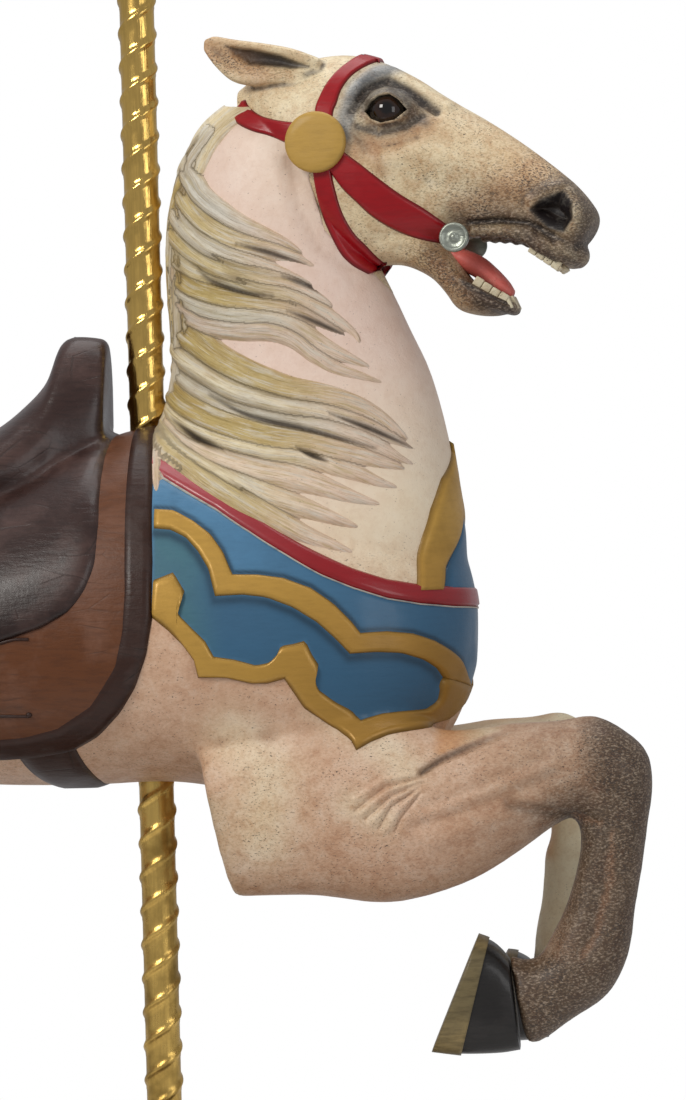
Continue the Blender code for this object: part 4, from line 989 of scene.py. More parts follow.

# Mane. Long locks are carved in relief on the neck. They come down the crest together, then peel
# off and sweep forward to points on bare skin, fluted with a gouge. Ochre, grey-white and cream
# are brushed along them. Shade is painted dark brown into the gaps between them, and darker into
# the creases, the furrows of the flutes and each lock's edges.

OCHRE, GREY, STRAW, HAIR_PINK = tone("BFA868"), tone("D2CDBF"), tone("E6D8B4"), tone("E6CDB8")
HAIR_SHADE, GAP_SHADE, FURROW_SHADE_OCHRE = tone("75603A"), tone("35281A"), tone("9C7B3C")
LOCKS = [
    (1.5, GREY, [(9.5, 146.0), (6.6, 142.0), (7.7, 139.0), (8.8, 137.4), (11.0, 135.5), (13.5, 133.9),
                 (16.5, 132.5), (19.1, 131.3), (21.2, 130.0)]),
    (2.1, OCHRE, [(8.2, 145.0), (5.6, 141.0), (6.3, 137.5), (8.3, 134.7), (10.9, 132.7), (13.5, 131.5),
                  (16.8, 130.6), (20.1, 129.5), (22.7, 128.3)]),
    (2.0, GREY, [(6.9, 142.0), (4.9, 138.0), (5.3, 136.0), (6.7, 133.7), (8.8, 131.7), (11.4, 130.1),
                 (13.7, 129.2), (17.0, 127.9), (20.1, 126.8), (22.4, 126.0)]),
    (2.1, OCHRE, [(5.9, 139.5), (4.6, 136.0), (5.2, 133.5), (7.2, 131.2), (10.0, 129.2), (13.1, 127.9),
                  (16.4, 127.0), (19.5, 126.2), (22.1, 125.0), (24.7, 123.3)]),
    (1.9, STRAW, [(5.1, 137.5), (4.1, 134.0), (4.7, 131.2), (6.9, 128.9), (9.6, 127.9), (12.6, 126.8),
                  (15.9, 125.6), (19.0, 124.9), (22.1, 123.3), (24.7, 121.8), (27.2, 119.9), (28.0, 118.6)]),
    (2.1, OCHRE, [(4.6, 135.2), (3.9, 131.5), (4.6, 128.6), (7.0, 126.3), (9.6, 125.2), (12.5, 124.4),
                  (15.8, 123.8), (18.9, 123.2), (21.5, 122.3), (24.4, 120.6), (26.4, 119.4)]),
    (2.1, GREY, [(4.2, 132.4), (4.0, 128.6), (4.8, 125.9), (7.6, 123.9), (11.2, 122.6), (14.3, 122.2),
                 (17.6, 121.6), (20.4, 120.3), (23.0, 118.6), (25.6, 117.2), (28.2, 116.0), (29.2, 115.6)]),
    (1.5, HAIR_PINK, [(4.4, 129.0), (4.7, 124.9), (7.4, 122.3), (10.6, 121.2), (13.7, 120.7), (17.0, 120.5),
                      (19.9, 119.3), (22.5, 117.1), (25.0, 115.5), (27.6, 114.6), (30.7, 113.6)]),
    (2.4, OCHRE, [(4.4, 128.0), (4.3, 124.2), (5.2, 121.2), (7.5, 118.9), (10.0, 116.9), (12.8, 115.2),
                  (16.1, 113.6), (19.2, 112.6), (22.8, 112.0), (25.4, 111.4), (28.5, 110.3), (31.1, 108.7),
                  (33.6, 106.5)]),
    (2.1, STRAW, [(4.2, 124.8), (4.1, 121.0), (5.2, 118.0), (8.2, 115.4), (12.0, 113.0), (15.5, 111.7),
                  (19.1, 110.7), (22.8, 110.0), (25.4, 109.3), (28.5, 108.2), (31.0, 107.0), (34.4, 105.2)]),
    (2.1, GREY, [(4.0, 121.4), (4.0, 117.8), (6.2, 114.8), (9.6, 112.6), (13.2, 111.0), (16.5, 109.9),
                 (20.2, 109.1), (23.8, 108.2), (26.9, 107.1), (30.0, 105.7), (32.5, 104.2), (34.3, 103.3)]),
    (2.3, OCHRE, [(3.9, 118.0), (3.6, 114.6), (5.4, 111.8), (8.8, 109.6), (12.1, 108.2), (15.4, 107.1),
                  (18.5, 106.5), (21.6, 106.0), (24.8, 105.2), (27.9, 104.4), (30.5, 103.6), (33.3, 102.8)]),
    (2.2, STRAW, [(3.5, 115.4), (3.3, 112.0), (5.3, 109.4), (8.8, 107.5), (12.6, 106.2), (16.4, 105.3),
                  (20.1, 104.9), (22.7, 104.3), (25.2, 103.2), (27.8, 102.2), (30.4, 101.1), (32.3, 100.5)]),
    (2.2, HAIR_PINK, [(3.2, 113.0), (2.9, 110.4), (4.9, 107.6), (8.1, 105.6), (11.5, 104.2), (14.6, 103.2),
                      (18.4, 102.3), (21.5, 101.4), (24.1, 100.5), (27.0, 99.4), (30.3, 98.4)]),
    (2.2, STRAW, [(2.9, 111.4), (2.4, 108.8), (4.7, 105.6), (8.0, 103.6), (12.0, 101.6), (15.2, 100.1),
                  (18.3, 99.0), (21.5, 98.0), (24.6, 96.8), (27.5, 95.7)]),
    (1.9, OCHRE, [(2.6, 109.6), (3.0, 106.6), (6.0, 104.2), (9.6, 101.6), (13.4, 99.2), (17.2, 97.0),
                  (21.0, 95.0), (24.0, 93.8), (26.9, 92.6)]),
]
CREST_LOCKS = [
    (2.4, STRAW, [(15.0, 150.4), (11.6, 148.4), (8.6, 145.6), (6.4, 141.6), (5.0, 137.6), (4.4, 133.0),
                  (4.2, 128.0), (4.6, 123.0)]),
    (2.2, OCHRE, [(6.0, 140.0), (4.8, 136.0), (4.2, 131.0), (4.4, 126.0), (4.8, 121.5), (4.6, 117.0),
                  (3.8, 112.6), (3.0, 107.0), (3.4, 102.0)]),
    (2.0, GREY, [(4.4, 127.0), (4.6, 121.8), (4.4, 117.6), (3.6, 113.4), (2.6, 110.4), (2.2, 106.0),
                 (2.8, 100.0)]),
]
# Deep lens-shaped gaps between the locks
GAPS = [
    [(13.0, 131.4), (17.5, 130.0), (21.6, 128.5)], [(8.0, 128.4), (9.8, 126.9), (13.8, 125.3), (17.5, 124.7)],
    [(18.6, 127.1), (21.5, 126.0), (24.4, 124.5)], [(19.1, 122.8), (22.2, 121.5), (27.2, 119.1)],
    [(9.2, 112.5), (14.4, 109.7), (21.9, 107.7), (29.8, 105.3)],
    [(24.1, 109.7), (29.0, 107.8), (34.4, 105.3)],
    [(4.5, 109.4), (7.6, 107.2), (10.9, 105.7)], [(20.2, 105.4), (23.9, 103.7)],
]
# How far round from the crest the mane reaches on each side, by height
REACH_Z = [91.0, 99.0, 106.0, 110.0, 114.0, 122.0, 132.0, 141.0, 149.5]
REACH_LOW = [58.0, 44.0, 20.0, 4.0, -8.0, -8.0, -8.0, -8.0, -8.0]
REACH_HIGH = [150.0, 158.0, 158.0, 158.0, 158.0, 158.0, 150.0, 120.0, 60.0]
NECK_AXIS_Z = [91.0, 110.0, 125.0, 140.0, 150.0]
NECK_AXIS_X = [20.0, 19.0, 17.0, 16.5, 17.0]


def along(flat, path):
    """For flat points and a drawn path: distance, which side, and how far along."""
    best = np.full(len(flat), 1e9)
    side, run = np.zeros(len(flat)), np.zeros(len(flat))
    so_far = 0.0
    for a, b in zip(path, path[1:]):
        length = np.linalg.norm(b - a)
        way = (b - a) / length
        t = np.clip((flat - a) @ way, 0, length)
        off = flat - a - t[:, None] * way
        far = np.linalg.norm(off, axis=1)
        closer = far < best
        best = np.where(closer, far, best)
        side = np.where(closer, way[0] * off[:, 1] - way[1] * off[:, 0], side)
        run = np.where(closer, so_far + t, run)
        so_far += length
    return best, side, run, run / so_far


def even_rows(grid, rounds):
    """Averages each row of a grid with its neighbours. The first and last row stay."""
    for _ in range(rounds):
        grid[1:-1] = (grid[:-2] + 2 * grid[1:-1] + grid[2:]) / 4


def inlay(spots, outward_hint, heights, sink=0.5, under=1):
    """A flat-lying piece over a grid of skin points; its hidden side keeps every under-th column."""
    spots = np.asarray(spots, dtype=float)
    outward_hint = outward_hint / np.linalg.norm(outward_hint, axis=2, keepdims=True)
    normal = np.cross(np.gradient(spots, axis=0), np.gradient(spots, axis=1))
    size = np.linalg.norm(normal, axis=2, keepdims=True)
    normal = np.where(size > 1e-9, normal / np.maximum(size, 1e-9), outward_hint)
    flip = np.sign(np.einsum("ijk,ijk->ij", normal, outward_hint))[..., None]
    normal = normal * np.where(flip == 0, 1, flip)
    even_rows(normal, 2)
    heights = np.asarray(heights, dtype=float)
    top = spots + normal * (heights if heights.ndim == 2 else heights[None, :])[..., None]
    low = spots - normal * sink
    return outward(grid_mesh(np.concatenate([top, low[:, ::-under]], axis=1)))


def mane_sheet(side, seed, rows=330, count=230, under=8):
    """One side of the mane, laid over the neck: broad fluted locks with creases between them."""
    spots = np.zeros((rows, count, 3))
    for i, z in enumerate(np.linspace(91.5, 149.2, rows)):
        axis = np.interp(z, NECK_AXIS_Z, NECK_AXIS_X)
        low, high = (math.radians(np.interp(z, REACH_Z, reach)) for reach in (REACH_LOW, REACH_HIGH))
        for j, angle in enumerate(np.linspace(low, high, count)):
            way = Vector((-math.cos(angle), side * math.sin(angle), 0.0))
            spots[i, j] = skin.ray_cast(Vector((axis, 0.0, z)), way)[0]
    flat = spots.reshape(-1, 3)[:, [0, 2]]
    rng = random.Random(seed)
    if side > 0:
        flat = flat + np.column_stack([0.7 * np.sin(flat[:, 1] * 0.23), 0.9 * np.sin(flat[:, 0] * 0.21)])
    first = np.full(len(flat), -0.45)
    second = np.full(len(flat), -0.45)
    colours = all_over(HAIR_PINK, len(flat))
    grain = np.zeros((len(flat), 2))
    share = np.zeros(len(flat))
    for width, colour, line in LOCKS + CREST_LOCKS:
        far, off, run, t = along(flat, flow(line, 6))
        swell = np.minimum(1.0, 0.70 + 1.4 * t) * np.clip((1.0 - t) * 2.1, 0.0, 1.0) ** 0.65 + 0.03
        half = width * 0.93 * swell
        u = np.clip(far / half, 0, 1)
        flute = 0.16 * np.cos(off / width * 6.5 + run * 0.04 + rng.uniform(0, 6))
        flute = flute + 0.05 * np.cos(off / width * 17.0 + run * 0.08 + rng.uniform(0, 6))
        high = rng.uniform(0.85, 1.25) * (0.35 + 0.65 * np.clip((1 - t) * 1.9, 0, 1))
        level = np.where(far < half, high * (1 - u * u) ** 0.6 * (1 + flute), (half - far) * 0.9) - 0.06
        level = np.maximum(level, -0.45)
        better = level > first
        second = np.where(better, first, np.maximum(second, level))
        first = np.where(better, level, first)
        tint = (OCHRE, GREY, STRAW)[rng.randrange(3)]
        body = all_over(colour * 0.7 + tint * 0.3, len(flat))
        body = mix(body, HAIR_PINK, step(t, 0.45, 0.92) * 0.95)
        # Painted shade: each lock is darkened towards its edges and kept light on its rounded top.
        lock_top_light = 0.25 + 1.2 * (1 - u * u) + step(0.16 - t, 0.0, 0.12)
        body = mix(body * np.array([0.70, 0.60, 0.44]), body, lock_top_light)
        # Painted shade: a darker ochre in the furrows of the flutes.
        furrow_shade = step(np.cos(off / width * 6.5 + run * 0.04), 0.3, -0.8) * (1 - t)
        body = mix(body, FURROW_SHADE_OCHRE, 0.35 * furrow_shade)
        colours = np.where(better[:, None], body, colours)
        lock_grain = np.column_stack([off + rng.uniform(0, 40), run + rng.uniform(0, 40)])
        grain = np.where(better[:, None], lock_grain, grain)
        share = np.where(better, t, share)
    # Painted shade in the creases where two locks meet.
    crease = np.exp(-((first - second) / 0.13) ** 2) * step(second, -0.1, 0.2)
    crease *= np.maximum(step(flat[:, 0], 3.6, 6.4), step(flat[:, 1], 126, 132) * step(flat[:, 0], 4.5, 8.0))
    colours = mix(colours, HAIR_SHADE, crease * (0.75 - 0.4 * step(share, 0.4, 0.85)))
    # Painted shade: dark brown in the deep gaps between the locks.
    gap = np.zeros(len(flat))
    for line in GAPS:
        far, off, run, t = along(flat, flow(line, 5))
        gap = np.maximum(gap, np.exp(-(far / (0.07 + 0.26 * np.sin(np.clip(t, 0.04, 0.96) * math.pi))) ** 2))
    gap *= step(first, -0.3, 0.05)
    colours = mix(colours, GAP_SHADE, step(gap, 0.10, 0.65))
    edge = step(-first, -0.14, 0.06) * (1 - gap)
    colours = mix(colours, HAIR_PINK, 0.9 * edge)
    opened = (1 - step(gap, 0.05, 0.5)) * (1 - 0.85 * crease) * (1 - edge)
    heights = np.maximum(first - 0.9 * gap, np.where(first > 0, 0.04, -0.45)).reshape(rows, count)
    even_rows(heights, 3)
    heights[:2], heights[-2:] = -0.4, -0.4
    height = spots[..., 2]
    hint = spots - np.stack([np.interp(height, NECK_AXIS_Z, NECK_AXIS_X), height * 0, height], axis=-1)
    colours = colours.reshape(rows, count, 3)
    for _ in range(2):
        even_rows(colours, 1)
        even_rows(colours.swapaxes(0, 1), 1)
    mesh = inlay(spots, hint, heights, 0.7, under)
    both = []
    for values in (colours, grain, opened):
        values = values.reshape(rows, count, -1)
        values = np.concatenate([values, values[:, ::-under]], axis=1)
        both.append(values.reshape(len(mesh.vertices), -1))
    paint_mesh(mesh, both[0], both[2][:, 0])
    layer = mesh.uv_layers.new(name="grain")
    loops = np.empty(len(mesh.loops), dtype=int)
    mesh.loops.foreach_get("vertex_index", loops)
    layer.data.foreach_set("uv", both[1][loops].ravel())
    smooth(mesh)
    return mesh


def hair_material(name):
    """Paint dragged along the locks with a dry brush, over gouged grain."""
    made, tree, shader = new_material(name)
    layer = node(tree, "ShaderNodeAttribute", attribute_name="paint")
    grain_map = node(tree, "ShaderNodeUVMap", uv_map="grain").outputs[0]
    wide = stretched(tree, grain_map, (2.6, 0.16, 1.0))
    fine = stretched(tree, grain_map, (9.0, 0.30, 1.0))
    broad = noise(tree, wide, 1.0, 3.0, 0.6)
    thin = noise(tree, fine, 1.0, 3.0, 0.65)
    aged = aged_shader(tree, shader, 0.12, 0.4)
    opened = layer.outputs["Alpha"]
    grey = times(tree, span(tree, broad, 0.50, 0.62, 0.0, 0.60), opened)
    warm = times(tree, span(tree, broad, 0.48, 0.36, 0.0, 0.50), opened)
    pale = times(tree, span(tree, thin, 0.56, 0.70, 0.0, 0.35), opened)
    colour = blend_colour(tree, grey, layer.outputs["Color"], GREY)
    colour = blend_colour(tree, warm, colour, OCHRE * 0.85)
    colour = blend_colour(tree, span(tree, thin, 0.48, 0.36, 0.0, 0.40), colour, (0.55, 0.44, 0.28),
                          "MULTIPLY")
    colour = blend_colour(tree, pale, colour, (0.90, 0.87, 0.76))
    tree.links.new(colour, aged.inputs["Paint"])
    aged.inputs["Flecks"].default_value = 0.0
    bumped(tree, shader, maths(tree, "ADD", thin, times(tree, broad, 1.2)), 0.0016)
    return made


MANE_SEEDS = {-1: 11, 1: 23}
hair_paint = hair_material("hair_paint")
for side, hand in ((-1, "right"), (1, "left")):
    mesh = mane_sheet(side, MANE_SEEDS[side])
    made = add("mane_" + hand, metric(mesh))
    mesh.materials.append(hair_paint)
    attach(made, "root")
    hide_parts("carved_horse")

# Bridle. The straps are carved proud of the head, with square edges, and painted deep red; they
# meet under a turned wooden rosette in matte gold, and the cheek strap ends in a dull metal boss.

STRAP_RED, STRAP_WORN, STRAP_EDGE = tone("960410"), tone("A0242A"), tone("5E0A10")
STRAP_RISE = 0.45
STRAP_COLUMNS = 11
BESIDE, ABOVE_HEAD = 60.0, 200.0


def paired(first, second, rows, count, scale=(1.0, 1.0)):
    """Rows of points from one drawn edge to the other. Each edge may be given in several runs."""
    out = []
    share = np.linspace(0, 1, count)[None, :, None]
    for a, b in zip(first, second):
        both = []
        for edge in (a, b):
            line = np.array(edge, dtype=float)
            far = np.concatenate([[0], np.cumsum(np.linalg.norm(np.diff(line, axis=0) * scale, axis=1))])
            at = np.linspace(0, far[-1], rows)
            both.append(np.column_stack([np.interp(at, far, line[:, k]) for k in range(line.shape[1])]))
        block = both[0][:, None, :] * (1 - share) + both[1][:, None, :] * share
        out.append(block if not out else block[1:])
    return np.vstack(out)


def cast_side(trees, flat, side):
    """Side-view points laid on the outermost skin, from one side."""
    rows, count = flat.shape[:2]
    spots = np.zeros((rows, count, 3))
    for i in range(rows):
        for j in range(count):
            x, z = flat[i, j]
            start, way = Vector((x, side * BESIDE, z)), Vector((0, -side, 0))
            found = [hit for hit in (tree.ray_cast(start, way)[0] for tree in trees) if hit]
            found = found or [trees[-1].find_nearest(Vector((x, side * 2.0, z)))[0]]
            spots[i, j] = max(found, key=lambda hit: side * hit.y)
    return spots


def strap_profile(count, rise, bevel=0.12):
    """Heights across a raised strap: flat on top, with short bevels at both edges."""
    u = np.linspace(0, 1, count)
    return rise * np.minimum(1.0, 0.15 + np.minimum(u, 1 - u) / bevel)


BRIDLE = {
    "brow_strap": (
        [(24.4, 144.0), (24.2, 147.7), (24.6, 149.3), (25.3, 151.0), (26.3, 152.5), (27.6, 153.9),
         (29.0, 155.4)],
        [(26.6, 144.0), (26.5, 147.2), (26.9, 148.5), (27.3, 150.1), (28.0, 151.5), (29.0, 152.7),
         (31.5, 154.6)]),
    "crown_strap": (
        [(24.0, 146.0), (20.8, 146.5), (18.4, 147.1), (16.7, 147.8), (15.2, 149.0), (14.6, 150.0)],
        [(23.0, 143.0), (20.2, 144.0), (18.0, 145.0), (15.9, 145.7), (14.0, 146.7), (12.6, 147.9)]),
    "throat_strap": (
        [(23.6, 143.0), (23.8, 140.1), (24.0, 137.7), (24.4, 135.0), (25.4, 132.3), (26.6, 129.9),
         (28.0, 128.4), (29.5, 127.4)],
        [(26.2, 143.0), (26.3, 139.7), (26.6, 137.6), (27.2, 134.9), (28.3, 132.5), (29.6, 130.9),
         (30.6, 129.6), (31.6, 128.5)]),
    "cheek_strap": (
        [(26.0, 144.0), (27.9, 142.3), (29.9, 140.7), (31.9, 139.0), (34.5, 136.9), (37.2, 135.1),
         (39.9, 133.0), (41.2, 132.0)],
        [(24.6, 141.6), (26.2, 139.7), (27.5, 137.8), (29.1, 136.1), (31.1, 134.1), (33.8, 132.4),
         (36.7, 131.3), (40.2, 130.7)]),
}


def soft_gloss(name, colour, worn, edge, rough, coat, bump=0.0006, metal=0.0, crack=0.0, streak=0.45):
    """Glossy old paint over carving: brush marks, wear where it was handled, cracks, and painted shade on the
    edges of raised pieces.
    """
    made, tree, shader = new_material(name)
    layer = node(tree, "ShaderNodeAttribute", attribute_name="paint")
    spot = object_place(tree)
    brush = noise(tree, stretched(tree, spot, (1.0, 1.0, 5.0), (0.0, 0.45, 0.0)), 42.0, 5.0, 0.6)
    patch = noise(tree, spot, 13.0, 5.0, 0.62, 0.3)
    grit = noise(tree, spot, 210.0, 3.0)
    base = blend_colour(tree, 1.0, layer.outputs["Color"], colour, "MULTIPLY")
    tint = blend_colour(tree, span(tree, patch, 0.48, 0.68, 0.0, 0.2 + streak), base, worn)
    tint = blend_colour(tree, span(tree, brush, 0.55, 0.35, 0.0, streak), tint, edge)
    # Painted shade: where the fourth value is low, the edges and sides of a raised piece are darkened to the
    # edge colour.
    tint = blend_colour(tree, span(tree, layer.outputs["Alpha"], 0.9, 0.1, 0.0, 0.85), tint, edge)
    shader.inputs["Metallic"].default_value = metal
    shader.inputs["Specular IOR Level"].default_value = 0.3
    shader.inputs["Coat Weight"].default_value = coat
    shader.inputs["Coat Roughness"].default_value = 0.18
    tree.links.new(span(tree, patch, 0.35, 0.65, rough * 0.8, rough * 1.3), shader.inputs["Roughness"])
    height = maths(tree, "ADD", times(tree, brush, 0.7), times(tree, grit, 0.3))
    if crack:
        crack_map = stretched(tree, spot, (0.35, 0.6, 1.0))
        cells = node(tree, "ShaderNodeTexVoronoi", {"Vector": crack_map, "Scale": 26.0},
                     feature="DISTANCE_TO_EDGE")
        line = span(tree, cells.outputs["Distance"], 0.02, 0.0)
        line = times(tree, line, span(tree, patch, 0.5, 0.62, 0.0, crack))
        tint = blend_colour(tree, line, tint, (0.012, 0.008, 0.006))
        height = maths(tree, "SUBTRACT", height, times(tree, line, 0.8))
    tree.links.new(tint, shader.inputs["Base Color"])
    bumped(tree, shader, height, bump)
    return made


def edge_shade_mask(total, count):
    """1 over the flat of an inlay and 0 on its edges and back, where the paint is darkened as painted shade.
    """
    row = np.ones(2 * count)
    row[0] = 0
    row[count - 1:] = 0
    return np.tile(row, total // (2 * count))


def over_forehead(spots, steps=8):
    """Carries a strap on from its last row to the middle of the forehead."""
    rows = [spots]
    for share in np.linspace(1.0, -0.03, steps + 1)[1:]:
        row = [straight_heads[-1].ray_cast(Vector((x, y * share, ABOVE_HEAD)), Vector((0, 0, -1)))[0]
               for x, y, _ in spots[-1]]
        rows.append(np.array([row]))
    return np.concatenate(rows)


red_paint = soft_gloss("strap_red", STRAP_RED, STRAP_WORN, STRAP_EDGE, 0.36, 0.2, streak=0.2)
for name, (first, second) in BRIDLE.items():
    both = []
    for side in (-1, 1):
        flat = paired([flow(first, 5)], [flow(second, 5)], 48, STRAP_COLUMNS)
        spots = cast_side(straight_heads, flat, side)
        rows = len(spots)
        if name == "brow_strap":
            spots = over_forehead(spots)
        hint = np.zeros_like(spots)
        hint[:rows, :, 1] = side
        hint[rows:, :, 2] = 1.0
        mesh = inlay(spots, hint, strap_profile(STRAP_COLUMNS, STRAP_RISE))
        corners = len(mesh.vertices)
        # Painted shade on the straps' edges.
        paint_mesh(mesh, np.ones((corners, 3)), edge_shade_mask(corners, STRAP_COLUMNS))
        both.append(turn_mesh(mesh))
    mesh = join(both)
    smooth(mesh)
    made = add(name, metric(mesh))
    mesh.materials.append(red_paint)
    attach(made, "root")
    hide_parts("carved_horse")

# Rosette and boss: their colours, where they sit on the head, and the profiles they are turned to
ROSETTE_GOLD, BOSS_GREY = tone("B48F45"), tone("9EA398")
ROSETTE_PLACE, BOSS_PLACE = (24.5, 9.2, 143.6), (41.0, 6.4, 131.3)
ROSETTE_PROFILE = [(0.0, 1.05), (2.4, 1.10), (3.4, 1.00), (3.66, 0.86), (3.8, 0.60), (3.8, 0.0), (0.0, 0.0)]
BOSS_PROFILE = [(0.0, 0.98), (0.34, 0.92), (0.48, 0.72), (0.62, 0.66), (1.30, 0.62), (1.42, 0.80),
                (1.62, 0.86),
                (1.80, 0.74), (1.85, 0.50), (1.85, 0.0), (0.0, 0.0)]
gold_matt = soft_gloss("rosette_gold", ROSETTE_GOLD, ROSETTE_GOLD * 1.15, ROSETTE_GOLD * 0.55,
                       0.5, 0.1, 0.0008, streak=0.2)
boss_metal = soft_gloss("boss_metal", BOSS_GREY, BOSS_GREY * 0.8, (0.12, 0.12, 0.10), 0.42, 0.0,
                        0.0010, 0.75)


def turned_piece(profile, steps):
    """A piece turned about the z axis from a profile that runs down its outer side."""
    made = add("turned", bpy.data.meshes.new("turned"))
    made.data.from_pydata([(r, 0.0, z) for r, z in profile], [(i, i + 1) for i in range(len(profile) - 1)],
                          [])
    mod = made.modifiers.new("turn", "SCREW")
    mod.steps = steps
    mod.render_steps = steps
    mod.use_merge_vertices = True
    mod.merge_threshold = 0.0001
    return outward(applied(made))


def facing_out(mesh, place, side):
    """Lays a turned piece on the side of the head and turns it with the head."""
    spots = points_of(mesh)
    x, y, z = place
    out = np.column_stack([spots[:, 0], side * spots[:, 2], spots[:, 1]]) + np.array([x, side * y, z])
    set_points(mesh, turned(out))
    return outward(mesh)


for side, hand in ((-1, "right"), (1, "left")):
    for name, profile, steps, place, mat, slot, target in (
            ("rosette_", ROSETTE_PROFILE, 72, ROSETTE_PLACE, gold_matt, "gold_paint", "bridle_rosette_"),
            ("boss_", BOSS_PROFILE, 48, BOSS_PLACE, boss_metal, "bit_metal", "bit_boss_")):
        mesh = facing_out(turned_piece(profile, steps), place, side)
        paint_mesh(mesh, np.ones((len(mesh.vertices), 3)))
        smooth(mesh)
        made = add(name + hand, metric(mesh))
        mesh.materials.append(mat)
        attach(made, "root")
        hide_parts(target + hand)

# Breast collar. A broad painted band round the chest: blue field, raised gilt scrolls cut square
# at the edges, a red binding along the top with a thin pale line under it, and a pointed shield on
# the front of the neck. It is carved from the same blocks as the chest.

BLUE, DEEP_BLUE, TEAL = tone("5586AA"), tone("2D5673"), tone("47727A")
GILT, GILT_DARK, PALE_LINE = tone("BE9444"), tone("8A6828"), tone("B9B0A4")
BAND_RED, BAND_PALE, BARE = tone("8C0C16"), tone("A5444A"), (1.0, 1.0, 1.0)
CHEST_AXIS, FRONT = 12.0, 0.0
HALVINGS = 22


def angle_at(cast, axis, wanted, widest):
    """The angle whose cast point reaches a wanted place on one axis, found by halving."""
    low, high = 0.0, math.radians(widest)
    for _ in range(HALVINGS):
        middle = (low + high) / 2
        spot = cast(middle)
        if spot is not None and spot[axis] > wanted:
            low = middle
        else:
            high = middle
    return (low + high) / 2


def chest_point(angle, z):
    """The skin round the chest: angle is from straight ahead, over to the decorated side."""
    way = Vector((math.cos(angle), -math.sin(angle), 0.0))
    return skin.ray_cast(Vector((CHEST_AXIS, 0.0, z)), way)[0]


def round_chest(line):
    """A side-view line as angles round the chest and heights."""
    return [(angle_at(lambda angle: chest_point(angle, z), 0, x, 150), z) for x, z in line]


def other_side(line, side):
    return [(side * angle, z) for angle, z in line]


def chest_piece(first, second, rows, count, rise, bevel, both_sides=False):
    """An inlay on the chest between two edges given as (angle, height) runs."""
    flat = paired(first, second, rows, count, (20.0, 1.0))
    if both_sides:
        mirror = flat[::-1].copy()
        mirror[..., 0] *= -1
        flat = np.concatenate([mirror, flat[1:] if abs(flat[0, 0, 0]) < 1e-6 else flat])
    spots = np.array([[chest_point(a, z) for a, z in row] for row in flat], dtype=float)
    hint = spots - np.array([CHEST_AXIS, 0, 0])
    hint[..., 2] = 0
    return inlay(spots, hint, strap_profile(count, rise, bevel))


RED_TOP = [(1.7, 106.4), (3.0, 105.1), (7.1, 102.7), (11.1, 100.0), (15.0, 97.4), (19.0, 94.7), (23.0, 92.5),
           (26.9, 90.6),
           (30.9, 89.2), (34.9, 88.4), (38.8, 88.0), (41.1, 87.8)]
RED_LOW = [(1.7, 104.0), (2.9, 102.8), (6.2, 100.7), (10.2, 98.3), (14.4, 95.4), (18.7, 92.6), (23.0, 90.0),
           (26.9, 88.3),
           (30.9, 86.9), (34.8, 86.1), (38.7, 85.6), (41.3, 85.3)]
UPPER_OUT = [
    [(2.7, 98.5), (5.0, 98.3), (7.5, 96.9), (9.6, 95.3), (11.2, 93.1), (12.4, 90.3)],
    [(12.4, 90.3), (15.4, 90.2), (18.6, 89.7), (21.9, 88.4), (24.5, 86.5), (26.6, 84.3), (27.7, 82.8)],
    [(27.7, 82.8), (30.8, 82.9), (34.0, 82.5), (36.5, 81.5), (38.6, 80.0), (39.6, 78.8), (40.0, 76.7),
     (40.1, 75.2)],
]
UPPER_IN = [
    [(2.7, 96.0), (4.7, 95.8), (6.6, 94.8), (8.1, 93.1), (9.4, 90.9), (10.2, 87.6)],
    [(10.2, 87.6), (13.5, 87.7), (16.4, 87.3), (19.6, 86.0), (22.5, 84.1), (24.6, 82.1), (26.3, 80.2)],
    [(26.3, 80.2), (29.4, 80.3), (32.3, 80.1), (34.9, 79.2), (36.4, 78.1), (37.1, 76.9)],
]
LOWER_IN = [
    [(2.8, 89.9), (5.2, 90.8), (6.6, 88.4), (5.5, 87.3), (5.6, 85.8), (7.4, 83.9), (9.0, 82.3), (10.0, 80.4)],
    [(10.0, 80.4), (12.4, 80.0), (15.1, 79.2), (16.7, 79.5), (17.6, 80.4), (18.1, 81.5), (19.5, 81.7)],
    [(19.5, 81.7), (21.1, 82.1), (21.9, 80.3), (22.7, 79.0), (22.1, 77.6), (22.3, 76.2), (24.4, 74.5),
     (26.3, 73.4),
     (27.4, 72.1)],
    [(27.4, 72.1), (30.0, 72.8), (32.7, 73.0), (35.0, 73.1), (36.4, 74.0), (36.7, 75.3), (36.6, 76.1),
     (37.1, 76.9)],
]
LOWER_OUT = [
    [(2.6, 85.2), (4.4, 83.7), (6.2, 81.8), (7.5, 79.9), (7.9, 77.8)],
    [(7.9, 77.8), (11.3, 77.7), (14.5, 76.9), (16.4, 76.9), (18.4, 77.4)],
    [(18.4, 77.4), (19.4, 75.8), (20.6, 73.8), (22.5, 72.4), (24.6, 71.0), (26.2, 69.8), (26.9, 68.5)],
    [(26.9, 68.5), (28.8, 69.5), (31.0, 70.3), (33.6, 70.6), (36.0, 71.0), (37.6, 71.5), (39.2, 73.0),
     (40.1, 75.2)],
]
SHIELD_LEFT = [(39.0, 105.3), (37.5, 101.5), (36.2, 97.7), (35.2, 94.4), (34.5, 91.6), (34.4, 87.6)]
SHIELD_RIGHT = [(39.1, 101.7), (39.9, 100.4), (40.1, 97.6), (39.7, 94.5), (38.8, 92.3), (37.9, 90.3),
                (37.7, 87.6)]

gilt_paint = soft_gloss("gilt", GILT, GILT_DARK, GILT_DARK * 0.6, 0.42, 0.15, 0.0006, 0.25, streak=0.12)
blue_paint = soft_gloss("collar_blue", BARE, DEEP_BLUE, DEEP_BLUE * 0.7, 0.40, 0.25, streak=0.10)
band_paint = soft_gloss("binding_red", BARE, BAND_RED * 1.1, STRAP_EDGE, 0.34, 0.5, streak=0.10)
line_paint = soft_gloss("pale_line", PALE_LINE, GREY, DEEP_BLUE, 0.5, 0.1)

